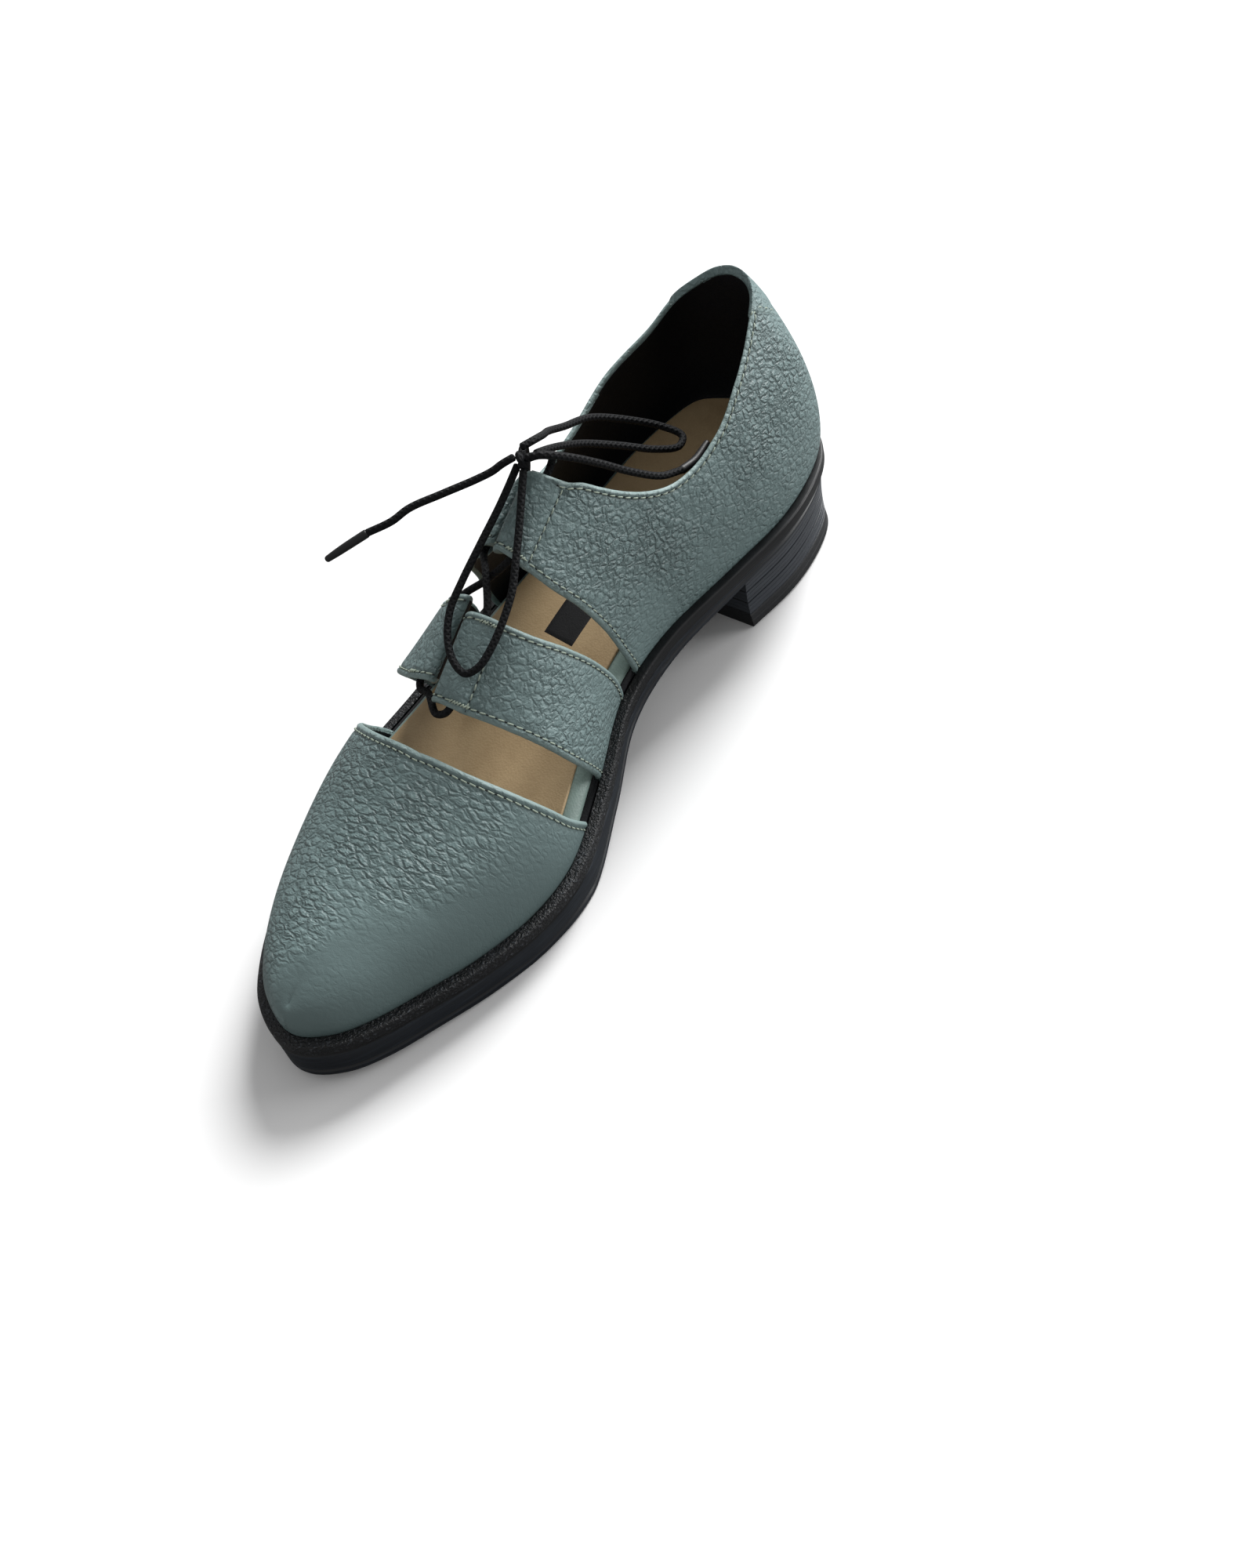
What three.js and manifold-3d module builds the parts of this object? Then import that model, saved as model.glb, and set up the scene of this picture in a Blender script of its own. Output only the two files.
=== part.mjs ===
// Right shoe of a pair: a flat lace-up with open gaps between vamp, strap and quarters.
// Millimetres, +X to the toe, +Y to the medial side, +Z up, floor at z = 0.
import * as THREE from 'three';
import Module from 'manifold-3d';
import { mergeVertices } from 'three/addons/utils/BufferGeometryUtils.js';

const wasm = await Module();
wasm.setup();

// Last
const LAST_LENGTH = 256.7;
const BALL_WIDTH = 82.5;
const INSTEP_HEIGHT = 77;
const HEEL_RISE = 22.2;
const TOE_SPRING = 4.8;

// Upper
const LEATHER = 1.8;
const TAB_THICKNESS = 5.8;
const TAB_RAISE = 1.6;
const TAB_DEPTH = 13.5;
const TAB_GAP = 2.6;
const TUNNEL_WIDTH = 8.4;
const TUNNEL_HEIGHT = 3.4;
const TUNNEL_INSET = 6.6;
const MARGIN_WIDTH = 12;
const MARGIN_THICKNESS = 1.8;
const HEEL_TAB_RAISE = 0.5;
const HEEL_TAB_DROP = 0.15;

// Bottom
const CLEARANCE = 0.3;
const WELT_THICKNESS = 4.2;
const WELT_WIDTH = 3.7;
const WELT_EDGE_RADIUS = 0.6;
const OUTSOLE_THICKNESS = 9.8;
const GROOVE_DEPTH = 0.8;
const TREAD_THICKNESS = 2.8;
const TREAD_GROOVE = 0.6;
const HEEL_LENGTH = 64;
const HEEL_OVERHANG = 0.1;
const HEEL_HOLLOW = 0.9;
const HEEL_FLARE = -0.5;
const TOP_PIECE_THICKNESS = 5.6;
const LIFTS = 3;
const LIFT_GROOVE = 0.6;
const FOOTBED_THICKNESS = 4.2;
const FOOTBED_SLOPE = 3.8;
const SOCK_THICKNESS = 1.0;
const SOCK_INSET = 0.5;

// Lace
const LACE_DIAMETER = 2.25;
const AGLET_DIAMETER = 2.8;

const HEEL_CENTRE = HEEL_LENGTH / 2 - WELT_WIDTH / 2;
const SOLE_STACK = WELT_THICKNESS + CLEARANCE + OUTSOLE_THICKNESS;

// Sections of the last from the back of the heel to the tip of the toe. Lengths are shares: x and
// ridgeX of the last's length; medial, lateral, ridgeY and the two bulges of the ball width; ridge
// of the instep height; heel of the heel rise; spring of the toe spring; sole of the outsole's
// thickness; welt and edge (of the outsole) of the welt's width. The two fullnesses are exponents
// of the section's superellipse on each side.
const SECTION_COLUMNS = ['x', 'medial', 'lateral', 'heel', 'spring', 'ridgeX', 'ridgeY', 'ridge',
  'bulge', 'lateralBulge', 'fullness', 'lateralFullness', 'sole', 'welt', 'edge'];
const SECTION_ROWS = [
  [0, 0, 0, 1, 0, 0.048, 0, 0.839, 0.064, 0.064, 2, 2, 0.57, 0.26, 0.1],
  [0.008, 0.158, 0.153, 0.974, 0, 0.055, 0, 0.852, 0.062, 0.062, 1.9, 1.9, 0.57, 0.3, 0.1],
  [0.031, 0.293, 0.281, 0.929, 0, 0.079, 0, 0.882, 0.056, 0.056, 1.7, 1.7, 0.57, 0.5, 0.14],
  [0.078, 0.361, 0.344, 0.88, 0, 0.118, 0, 0.931, 0.046, 0.044, 1.5, 1.5, 0.57, 0.72, 0.2],
  [0.156, 0.385, 0.382, 0.837, 0, 0.181, 0, 0.978, 0.036, 0.036, 1.5, 1.55, 0.57, 0.85, 0.27],
  [0.253, 0.342, 0.388, 0.791, 0, 0.259, 0, 1, 0.036, 0.033, 1.65, 1.3, 0.57, 0.86, 0.36],
  [0.37, 0.286, 0.406, 0.728, 0, 0.352, 0, 0.969, 0.039, 0.03, 1.75, 1.15, 0.6, 0.86, 0.58],
  [0.467, 0.29, 0.44, 0.529, 0, 0.444, 0.006, 0.88, 0.036, 0.023, 1.85, 1.28, 0.66, 0.9, 0.75],
  [0.563, 0.383, 0.492, 0.222, 0, 0.544, 0.012, 0.775, 0.029, 0.023, 2, 1.42, 0.87, 0.97, 0.88],
  [0.66, 0.476, 0.524, 0.05, 0, 0.647, 0.012, 0.606, 0.022, 0.022, 2, 1.66, 1.14, 1, 0.94],
  [0.738, 0.476, 0.495, 0, -0.008, 0.731, 0.012, 0.475, 0.017, 0.017, 2.05, 1.98, 1.02, 1, 0.94],
  [0.816, 0.415, 0.427, 0, 0.106, 0.808, 0.018, 0.369, 0.015, 0.015, 2.1, 2.1, 1, 1, 0.94],
  [0.883, 0.335, 0.337, 0, 0.385, 0.874, 0.024, 0.289, 0.012, 0.012, 2.2, 2.2, 1.03, 1, 0.94],
  [0.941, 0.258, 0.223, 0, 0.699, 0.928, 0.03, 0.222, 0.011, 0.011, 2.2, 2.2, 1.08, 1, 0.94],
  [0.98, 0.172, 0.105, 0, 0.923, 0.962, 0.042, 0.163, 0.008, 0.008, 2.2, 2.2, 1.13, 1.02, 0.96],
  [1, 0.048, -0.048, 0, 1, 0.982, 0.042, 0.119, 0.006, 0.006, 2.2, 2.2, 1.16, 1.04, 0.98],
];

// Edges of the leather pieces on the last, as shares: u runs along the sections, v from the
// feather line (0) over the ridge (1) of the instep.
const VAMP_EDGE = { v: [0, 0.18, 0.31, 0.51, 0.73, 1], u: [0.566, 0.587, 0.598, 0.614, 0.628, 0.6365] };
const STRAP_REAR = { v: [0, 0.04, 0.10, 0.23, 0.42, 0.62, 0.79, 0.92, 1.06],
  u: [0.462, 0.464, 0.468, 0.482, 0.504, 0.524, 0.534, 0.538, 0.541] };
const STRAP_FRONT = { v: [0, 0.25, 0.48, 0.67, 0.84, 1.06], u: [0.531, 0.557, 0.575, 0.587, 0.595, 0.598] };
const QUARTER_EDGE = { v: [0, 0.11, 0.25, 0.42, 0.59, 0.77, 0.90, 1.06],
  u: [0.440, 0.450, 0.460, 0.474, 0.488, 0.496, 0.498, 0.498] };
const COLLAR_MEDIAL = { u: [0, 0.08, 0.146, 0.176, 0.249, 0.298, 0.332, 0.361, 0.384, 0.413, 0.437, 0.443],
  v: [0.680, 0.678, 0.672, 0.645, 0.530, 0.435, 0.402, 0.422, 0.495, 0.660, 0.871, 1.0] };
const COLLAR_LATERAL = { u: [0, 0.063, 0.111, 0.180, 0.257, 0.318, 0.342, 0.363, 0.384, 0.413, 0.437, 0.443],
  v: [0.680, 0.650, 0.600, 0.520, 0.425, 0.395, 0.400, 0.425, 0.495, 0.660, 0.871, 1.0] };

const MEDIAL = 1;
const LATERAL = -1;
const SECTIONS = SECTION_ROWS.map((row) => Object.fromEntries(row.map((n, k) => [SECTION_COLUMNS[k], n])));
const SPANS = SECTIONS.length - 1;

function sectionLine(section, side) {
  const feather = SOLE_STACK + section.heel * HEEL_RISE + section.spring * TOE_SPRING;
  const y = (side === MEDIAL ? section.medial : -section.lateral) * BALL_WIDTH;
  const bulge = (side === MEDIAL ? section.bulge : section.lateralBulge) * BALL_WIDTH;
  const fullness = side === MEDIAL ? section.fullness : section.lateralFullness;
  return [section.x * LAST_LENGTH, y, feather, section.ridgeX * LAST_LENGTH, section.ridgeY * BALL_WIDTH,
    feather + section.ridge * INSTEP_HEIGHT, bulge, fullness, section.sole * OUTSOLE_THICKNESS,
    section.welt * WELT_WIDTH, section.edge * WELT_WIDTH];
}

// The lines of one side with one more at each end taken from the other side, so that the two
// sides run smoothly into each other at the heel and at the toe.
function sideLines(side) {
  const own = SECTIONS.map((s) => sectionLine(s, side));
  const before = sectionLine(SECTIONS[1], -side);
  const after = sectionLine(SECTIONS[SPANS - 1], -side);
  return [before, ...own, after];
}

const LINES = { [MEDIAL]: sideLines(MEDIAL), [LATERAL]: sideLines(LATERAL) };

const clamp = (x, low, high) => Math.min(high, Math.max(low, x));
const mix = (a, b, t) => a + (b - a) * t;
const smooth = (x) => {
  const t = clamp(x, 0, 1);
  return t * t * (3 - 2 * t);
};

function spanAt(u, side) {
  const s = clamp(u, 0, 1) * SPANS;
  const k = Math.min(SPANS - 1, Math.floor(s));
  return { f: s - k, rows: [0, 1, 2, 3].map((n) => LINES[side][k + n]) };
}

function lineAt(u, side) {
  const { f, rows: [a, b, c, d] } = spanAt(u, side);
  return b.map((m, n) => 0.5 * (2 * m + (c[n] - a[n]) * f + (2 * a[n] - 5 * m + 4 * c[n] - d[n]) * f * f
    + (3 * m - a[n] - 3 * c[n] + d[n]) * f * f * f));
}

function slopeAt(u, side) {
  const { f, rows: [a, b, c, d] } = spanAt(u, side);
  return [0, 1].map((n) => 0.5 * ((c[n] - a[n]) + 2 * (2 * a[n] - 5 * b[n] + 4 * c[n] - d[n]) * f
    + 3 * (3 * b[n] - a[n] - 3 * c[n] + d[n]) * f * f));
}

// A line with its outward direction in plan and the upward normal of the ridge.
function frameAt(u, side) {
  const line = lineAt(u, side);
  const slope = slopeAt(u, side);
  const low = lineAt(clamp(u - 0.001, 0, 1), side);
  const high = lineAt(clamp(u + 0.001, 0, 1), side);
  const plan = new THREE.Vector2(-slope[1], slope[0]).multiplyScalar(side).normalize();
  const ridge = new THREE.Vector2(-(high[5] - low[5]), high[3] - low[3]).normalize();
  return { line, plan, ridge };
}

// A point of the last: v is 0 at the feather line and 1 at the ridge; depth goes into the shoe.
function lastPoint(u, v, side, depth = 0) {
  const { line, plan, ridge } = frameAt(u, side);
  const [x, y, z, ridgeX, ridgeY, ridgeZ, bulge, fullness] = line;
  const angle = clamp(v, 0, 1) * Math.PI / 2;
  const c = Math.cos(angle);
  const s = Math.sin(angle);
  const radius = (Math.abs(c) ** fullness + Math.abs(s) ** fullness) ** (-1 / fullness);
  const along = 1 - radius * c;
  const up = radius * s;
  const swell = bulge * Math.sin(Math.PI * clamp(v, 0, 1) ** 0.6);
  const footX = x - plan.x * depth;
  const footY = y - plan.y * depth;
  const topX = ridgeX - ridge.x * depth;
  const topZ = ridgeZ - ridge.y * depth;
  return new THREE.Vector3(mix(footX, topX, along) + plan.x * swell, mix(footY, ridgeY, along) + plan.y * swell,
    mix(z, topZ, up));
}

// The same with g from 1 at the medial feather line over 0 at the ridge to -1 at the lateral one.
const girthPoint = (u, g, depth = 0) => lastPoint(u, 1 - Math.abs(g), g < 0 ? LATERAL : MEDIAL, depth);

function tableAt(xs, ys, x) {
  const k = clamp(xs.findIndex((n) => n > x), 1, xs.length - 1) || xs.length - 1;
  const at = x >= xs[xs.length - 1] ? xs.length - 1 : k;
  return mix(ys[at - 1], ys[at], clamp((x - xs[at - 1]) / (xs[at] - xs[at - 1]), 0, 1));
}

// Closed solids from grids of points
class Skin {
  constructor() {
    this.points = [];
  }

  triangle(a, b, c) {
    this.points.push(a, b, c);
  }

  // Split along the shorter diagonal
  quad(a, b, c, d) {
    if (a.distanceToSquared(c) <= b.distanceToSquared(d)) {
      this.triangle(a, b, c);
      this.triangle(a, c, d);
    } else {
      this.triangle(a, b, d);
      this.triangle(b, c, d);
    }
  }

  grid(rows, flip = false) {
    for (let i = 0; i + 1 < rows.length; i += 1) {
      for (let j = 0; j + 1 < rows[i].length; j += 1) {
        const corners = [rows[i][j], rows[i + 1][j], rows[i + 1][j + 1], rows[i][j + 1]];
        this.quad(...(flip ? corners.reverse() : corners));
      }
    }
  }

  geometry() {
    const raw = new THREE.BufferGeometry();
    raw.setAttribute('position', new THREE.Float32BufferAttribute(this.points.flatMap((p) => [p.x, p.y, p.z]), 3));
    const merged = mergeVertices(raw, 1e-4);
    const kept = [];
    const index = merged.getIndex().array;
    for (let k = 0; k < index.length; k += 3) {
      const [a, b, c] = [index[k], index[k + 1], index[k + 2]];
      if (a !== b && b !== c && a !== c) kept.push(a, b, c);
    }
    merged.setIndex(kept);
    if (volumeOf(merged) < 0) {
      for (let k = 0; k < kept.length; k += 3) [kept[k + 1], kept[k + 2]] = [kept[k + 2], kept[k + 1]];
      merged.setIndex(kept);
    }
    return merged;
  }
}

function volumeOf(geometry) {
  const position = geometry.getAttribute('position');
  const index = geometry.getIndex().array;
  const [a, b, c] = [new THREE.Vector3(), new THREE.Vector3(), new THREE.Vector3()];
  let sum = 0;
  for (let k = 0; k < index.length; k += 3) {
    a.fromBufferAttribute(position, index[k]);
    b.fromBufferAttribute(position, index[k + 1]);
    c.fromBufferAttribute(position, index[k + 2]);
    sum += a.dot(b.cross(c));
  }
  return sum / 6;
}

function toManifold(geometry) {
  const bare = new THREE.BufferGeometry();
  bare.setAttribute('position', geometry.getAttribute('position'));
  if (geometry.getIndex()) bare.setIndex(geometry.getIndex());
  const merged = mergeVertices(bare, 1e-4);
  const mesh = new wasm.Mesh({
    numProp: 3,
    vertProperties: new Float32Array(merged.getAttribute('position').array),
    triVerts: new Uint32Array(merged.getIndex().array),
  });
  return new wasm.Manifold(mesh);
}

function toGeometry(manifold) {
  const mesh = manifold.getMesh();
  const geometry = new THREE.BufferGeometry();
  geometry.setAttribute('position', new THREE.Float32BufferAttribute(mesh.vertProperties, 3));
  geometry.setIndex(new THREE.Uint32BufferAttribute(mesh.triVerts, 1));
  return geometry;
}

// A wall between an outer and an inner grid; rows run along i, and each end row is closed
// unless the two sides of the wall already meet there.
function wallGeometry(outer, inner, closeFirst = true, closeLast = true) {
  const skin = new Skin();
  skin.grid(outer);
  skin.grid(inner, true);
  const last = outer.length - 1;
  const top = outer[0].length - 1;
  for (let i = 0; i < last; i += 1) {
    skin.quad(outer[i + 1][0], outer[i][0], inner[i][0], inner[i + 1][0]);
    skin.quad(outer[i][top], outer[i + 1][top], inner[i + 1][top], inner[i][top]);
  }
  for (let j = 0; j < top; j += 1) {
    if (closeFirst) skin.quad(outer[0][j], outer[0][j + 1], inner[0][j + 1], inner[0][j]);
    if (closeLast) skin.quad(outer[last][j + 1], outer[last][j], inner[last][j], inner[last][j + 1]);
  }
  return skin.geometry();
}

// A closed ring or plate: loops of equal length, one after another around its section.
function loopedGeometry(sections, ring = false) {
  const skin = new Skin();
  const wrapped = ring ? [...sections, sections[0]] : sections;
  skin.grid(wrapped.map((loop) => [...loop, loop[0]]));
  if (!ring) {
    const ends = [sections[0], sections[sections.length - 1]];
    ends.forEach((loop, end) => {
      for (let k = 1; k < loop.length - 1; k += 1) {
        if (end) skin.triangle(loop[0], loop[k + 1], loop[k]);
        else skin.triangle(loop[0], loop[k], loop[k + 1]);
      }
    });
  }
  return skin.geometry();
}

const range = (count, from = 0, to = 1) => Array.from({ length: count + 1 }, (_, k) => mix(from, to, k / count));

// Leather pieces of the upper

// How far the outer and inner faces of a lace tab lie in from the last, at a distance from its fold.
// Behind the instep there is no tab, and the wall is plain.
const TAB_FROM = 0.33;

function tabDepths(u, distance) {
  if (u < TAB_FROM) return { outer: 0, inner: LEATHER };
  const full = smooth((TAB_DEPTH - distance) / 3.5);
  const outer = -TAB_RAISE * full;
  const inner = mix(LEATHER, TAB_THICKNESS - TAB_RAISE, full);
  const radius = TAB_THICKNESS / 2;
  const round = Math.sqrt(Math.max(0, 1 - (1 - clamp(distance / radius, 0, 1)) ** 2));
  const middle = (outer + inner) / 2;
  return { outer: mix(middle, outer, round), inner: mix(middle, inner, round) };
}

// The medial tabs end just past the ridge, and the lateral ones stop short of them by the gap.
const MEDIAL_TAB_END = -0.045;

function tabEnd(u, side) {
  if (side === MEDIAL) return MEDIAL_TAB_END;
  const from = girthPoint(u, MEDIAL_TAB_END);
  let g = MEDIAL_TAB_END;
  while (girthPoint(u, g).distanceTo(from) < TAB_GAP) g -= 0.002;
  return g;
}

function skirted(points) {
  const foot = points[0].clone();
  foot.z -= MARGIN_THICKNESS - CLEARANCE;
  return [foot, ...points];
}

const FOLD_STEPS = [0, 0.12, 0.26, 0.40, 0.54, 0.67, 0.78, 0.865, 0.93, 0.975, 1];

// A column of the wall on one side, from the feather line up to its top edge at share top of the
// way from the feather line (0) to the end of the tab (1).
function tabbedColumn(side, uAt, top) {
  const outer = [];
  const inner = [];
  FOLD_STEPS.forEach((share) => {
    const way = share * top;
    let u = uAt(share, way);
    const end = tabEnd(u, side);
    const g = mix(side, end * smooth((u - TAB_FROM) / 0.1), way);
    const distance = girthPoint(u, g).distanceTo(girthPoint(u, end));
    const depths = tabDepths(u, distance);
    u = clamp(u, 0, 1);
    outer.push(girthPoint(u, g, depths.outer));
    inner.push(girthPoint(u, g, depths.inner));
  });
  return { outer: skirted(outer), inner: skirted(inner) };
}

// The lateral edges of the quarter and of the strap lie further back than the medial ones.
const LATERAL_LAG = { quarter: 0.008, strap: 0.013 };
const lagOf = (side, piece) => (side === LATERAL ? LATERAL_LAG[piece] : 0);

function strapSolid(side) {
  const lag = lagOf(side, 'strap');
  const columns = range(5).map((a) => tabbedColumn(side, (share) => mix(tableAt(STRAP_REAR.v, STRAP_REAR.u, share),
    tableAt(STRAP_FRONT.v, STRAP_FRONT.u, share), a) - lag, 1));
  return toManifold(wallGeometry(columns.map((c) => c.outer), columns.map((c) => c.inner)));
}

// The quarters wrap the heel in one wall. On each side its top edge is the collar up to the corner
// of the tab and then the fold of the tab.
const COLLAR_SHARE = 0.86;
const COLLAR_U = [0, 0.028, 0.056, 0.084, 0.115, 0.146, 0.180, 0.214, 0.249, 0.275, 0.298, 0.316, 0.332,
  0.347, 0.361, 0.373, 0.384, 0.399, 0.413, 0.426, 0.437, 0.440, 0.443];
const COLLAR_CORNER = COLLAR_U[COLLAR_U.length - 1];
const FOLD_COLUMNS = 4;

function quarterColumn(a) {
  const side = a < 0 ? LATERAL : MEDIAL;
  const way = Math.abs(a);
  const collar = side === MEDIAL ? COLLAR_MEDIAL : COLLAR_LATERAL;
  const edge = QUARTER_EDGE;
  const lowEnd = edge.u[0];
  const highEnd = edge.u[edge.u.length - 1];
  const onCollar = way < COLLAR_SHARE;
  const topU = onCollar ? way / COLLAR_SHARE * COLLAR_CORNER
    : mix(COLLAR_CORNER, highEnd, (way - COLLAR_SHARE) / (1 - COLLAR_SHARE));
  const top = onCollar ? tableAt(collar.u, collar.v, topU) : 1;
  return tabbedColumn(side, (share) => {
    const straight = mix(lowEnd * way, topU, share);
    const bow = tableAt(edge.v, edge.u, share) - mix(lowEnd, highEnd, share);
    return straight + (bow - lagOf(side, 'quarter')) * way ** 3;
  }, top);
}

function quarterSolid() {
  const collar = COLLAR_U.map((u) => u / COLLAR_CORNER * COLLAR_SHARE);
  const half = [...collar, ...range(FOLD_COLUMNS, COLLAR_SHARE, 1).slice(1)];
  const ways = [...half.slice(1).reverse().map((a) => -a), ...half];
  const columns = ways.map(quarterColumn);
  return toManifold(wallGeometry(columns.map((c) => c.outer), columns.map((c) => c.inner)));
}

function vampSolid() {
  const around = range(18, 1, -1);
  const along = range(11).map((a) => a ** 1.15);
  const row = (share, depth) => {
    const points = around.map((g) => girthPoint(mix(tableAt(VAMP_EDGE.v, VAMP_EDGE.u, 1 - Math.abs(g)), 1, share), g, depth));
    const lower = skirted([points[0]])[0];
    const last = skirted([points[points.length - 1]])[0];
    return [lower, ...points, last];
  };
  return toManifold(wallGeometry(along.map((s) => row(s, 0)), along.map((s) => row(s, LEATHER)), true, false));
}

// The folded piece over the back of the collar stands proud of the quarter by a small step. Its
// ends lean back on their way down.
const HEEL_TAB_REACH = { low: 0.117, high: 0.157 };

function heelTabSolid() {
  const columns = range(10, -1, 1).map((a) => {
    const side = a < 0 ? LATERAL : MEDIAL;
    const collar = side === MEDIAL ? COLLAR_MEDIAL : COLLAR_LATERAL;
    const line = (depth) => range(3).map((share) => {
      const u = Math.abs(a) * mix(HEEL_TAB_REACH.low, HEEL_TAB_REACH.high, share);
      const v = tableAt(collar.u, collar.v, u) * 0.997 - HEEL_TAB_DROP * (1 - share);
      return lastPoint(u, v, side, depth);
    });
    return { outer: line(-HEEL_TAB_RAISE), inner: line(LEATHER / 2) };
  });
  return toManifold(wallGeometry(columns.map((c) => c.outer), columns.map((c) => c.inner)));
}

// Plan loops along both feather lines, moved out by offset(line) and to height z(line).
const BOTTOM_STEPS = range(40);

// The line of the last whose feather line stands at x; heights of the bottom follow x alone.
const LEVELS = range(400).map((u) => lineAt(u, MEDIAL));

function levelAt(x) {
  const k = clamp(LEVELS.findIndex((line) => line[0] > x), 1, LEVELS.length - 1);
  const at = x >= LEVELS[LEVELS.length - 1][0] ? LEVELS.length - 1 : k;
  const [low, high] = [LEVELS[at - 1], LEVELS[at]];
  const t = clamp((x - low[0]) / (high[0] - low[0]), 0, 1);
  return low.map((n, m) => mix(n, high[m], t));
}

function featherPoint(u, side, offset, height) {
  const { line, plan } = frameAt(u, side);
  const x = line[0] + plan.x * offset;
  return new THREE.Vector3(x, line[1] + plan.y * offset, height(levelAt(x)));
}

function marginSolid() {
  const around = [...BOTTOM_STEPS.map((u) => [u, MEDIAL]), ...BOTTOM_STEPS.slice(1, -1).reverse().map((u) => [u, LATERAL])];
  const sections = around.map(([u, side]) => [
    featherPoint(u, side, -0.4, (level) => level[2] - MARGIN_THICKNESS),
    featherPoint(u, side, -0.4, (level) => level[2]),
    featherPoint(u, side, -MARGIN_WIDTH, (level) => level[2]),
    featherPoint(u, side, -MARGIN_WIDTH, (level) => level[2] - MARGIN_THICKNESS),
  ]);
  return toManifold(loopedGeometry(sections, true));
}

// A point in a tunnel: distance in from the fold, half way through the tab.
const TUNNEL_DEPTH = TAB_THICKNESS / 2 - TAB_RAISE;

function tunnelGirth(u, side) {
  const end = tabEnd(u, side);
  const fold = girthPoint(u, end);
  let g = end;
  const step = 0.002 * side;
  while (girthPoint(u, g).distanceTo(fold) < TUNNEL_INSET) g += step;
  return g;
}

function tunnelSolid(side, from, to) {
  const sections = range(6, from, to).map((u) => {
    const g = tunnelGirth(u, side);
    const centre = girthPoint(u, g, TUNNEL_DEPTH);
    const across = girthPoint(u, g + 0.01, TUNNEL_DEPTH).sub(girthPoint(u, g - 0.01, TUNNEL_DEPTH)).normalize();
    const run = girthPoint(u + 0.005, tunnelGirth(u + 0.005, side), TUNNEL_DEPTH).sub(centre).normalize();
    const up = run.clone().cross(across).normalize();
    return range(12).slice(0, -1).map((t) => {
      const c = Math.cos(t * 2 * Math.PI);
      const s = Math.sin(t * 2 * Math.PI);
      const width = Math.sign(c) * Math.abs(c) ** 0.6 * TUNNEL_WIDTH / 2;
      const height = Math.sign(s) * Math.abs(s) ** 0.6 * TUNNEL_HEIGHT / 2;
      return centre.clone().addScaledVector(across, width).addScaledVector(up, height);
    });
  });
  return toManifold(loopedGeometry(sections));
}

function upperGeometry() {
  let solid = quarterSolid().add(vampSolid()).add(marginSolid()).add(heelTabSolid());
  [MEDIAL, LATERAL].forEach((side) => {
    solid = solid.add(strapSolid(side));
  });
  [MEDIAL, LATERAL].forEach((side) => {
    solid = solid.subtract(tunnelSolid(side, 0.405, 0.515));
    solid = solid.subtract(tunnelSolid(side, 0.523 - lagOf(side, 'strap'), 0.612 - lagOf(side, 'strap')));
  });
  return toGeometry(solid);
}

// Pieces of the bottom

// A plate between the two sides, from the heel forward. Its side is a profile of
// [offset from the feather line, height of a level] pairs from the top down.
function plateGeometry(profile, steps = BOTTOM_STEPS) {
  const sections = steps.map((u) => {
    const half = (side) => profile(lineAt(u, side)).map(([offset, height]) => featherPoint(u, side, offset, height));
    return [...half(MEDIAL), ...half(LATERAL).reverse()];
  });
  return loopedGeometry(sections);
}

const weltBase = (level) => level[2] - WELT_THICKNESS;
const outsoleTop = (level) => weltBase(level) - CLEARANCE;
const outsoleBase = (level) => Math.max(0, outsoleTop(level) - level[8]);
const footbedBase = (level) => level[2] + CLEARANCE;

function weltGeometry() {
  const around = [...BOTTOM_STEPS.map((u) => [u, MEDIAL]), ...BOTTOM_STEPS.slice(1, -1).reverse().map((u) => [u, LATERAL])];
  const sections = around.map(([u, side]) => {
    const width = lineAt(u, side)[9];
    return [
      featherPoint(u, side, CLEARANCE, weltBase),
      featherPoint(u, side, width - WELT_EDGE_RADIUS, weltBase),
      featherPoint(u, side, width, (level) => weltBase(level) + WELT_EDGE_RADIUS),
      featherPoint(u, side, width, (level) => level[2] - WELT_EDGE_RADIUS),
      featherPoint(u, side, width - WELT_EDGE_RADIUS, (level) => level[2]),
      featherPoint(u, side, CLEARANCE, (level) => level[2]),
    ];
  });
  return loopedGeometry(sections, true);
}

function outsoleGeometry() {
  const tread = (level) => outsoleBase(level)
    + Math.min(TREAD_THICKNESS, (outsoleTop(level) - outsoleBase(level)) * 0.4);
  return plateGeometry((line) => {
    const width = line[10];
    return [
      [0, (level) => level[2] - MARGIN_THICKNESS - CLEARANCE],
      [0, outsoleTop],
      [width - GROOVE_DEPTH, outsoleTop],
      [width - GROOVE_DEPTH, (level) => outsoleTop(level) - 0.5],
      [width, (level) => outsoleTop(level) - 0.9],
      [width, (level) => tread(level) + TREAD_GROOVE],
      [width - TREAD_GROOVE, tread],
      [width, (level) => tread(level) - TREAD_GROOVE],
      [width, (level) => outsoleBase(level) + 0.6],
      [width - 0.8, outsoleBase],
    ];
  });
}

// The heel follows the outline of the sole back from its breast, which stands across the shoe.
function heelSteps() {
  const reach = HEEL_LENGTH - WELT_WIDTH;
  let u = 0;
  while (lineAt(u, MEDIAL)[0] < reach) u += 0.0005;
  return range(15, 0, u);
}

const HEEL_STEPS = heelSteps();

// How far the heel stands out from the feather line at a share of its height, from the floor (0)
// to the outsole (1).
const heelOut = (share) => HEEL_OVERHANG - HEEL_HOLLOW * Math.sin(Math.PI * share) + HEEL_FLARE * (1 - share) ** 2;

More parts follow.
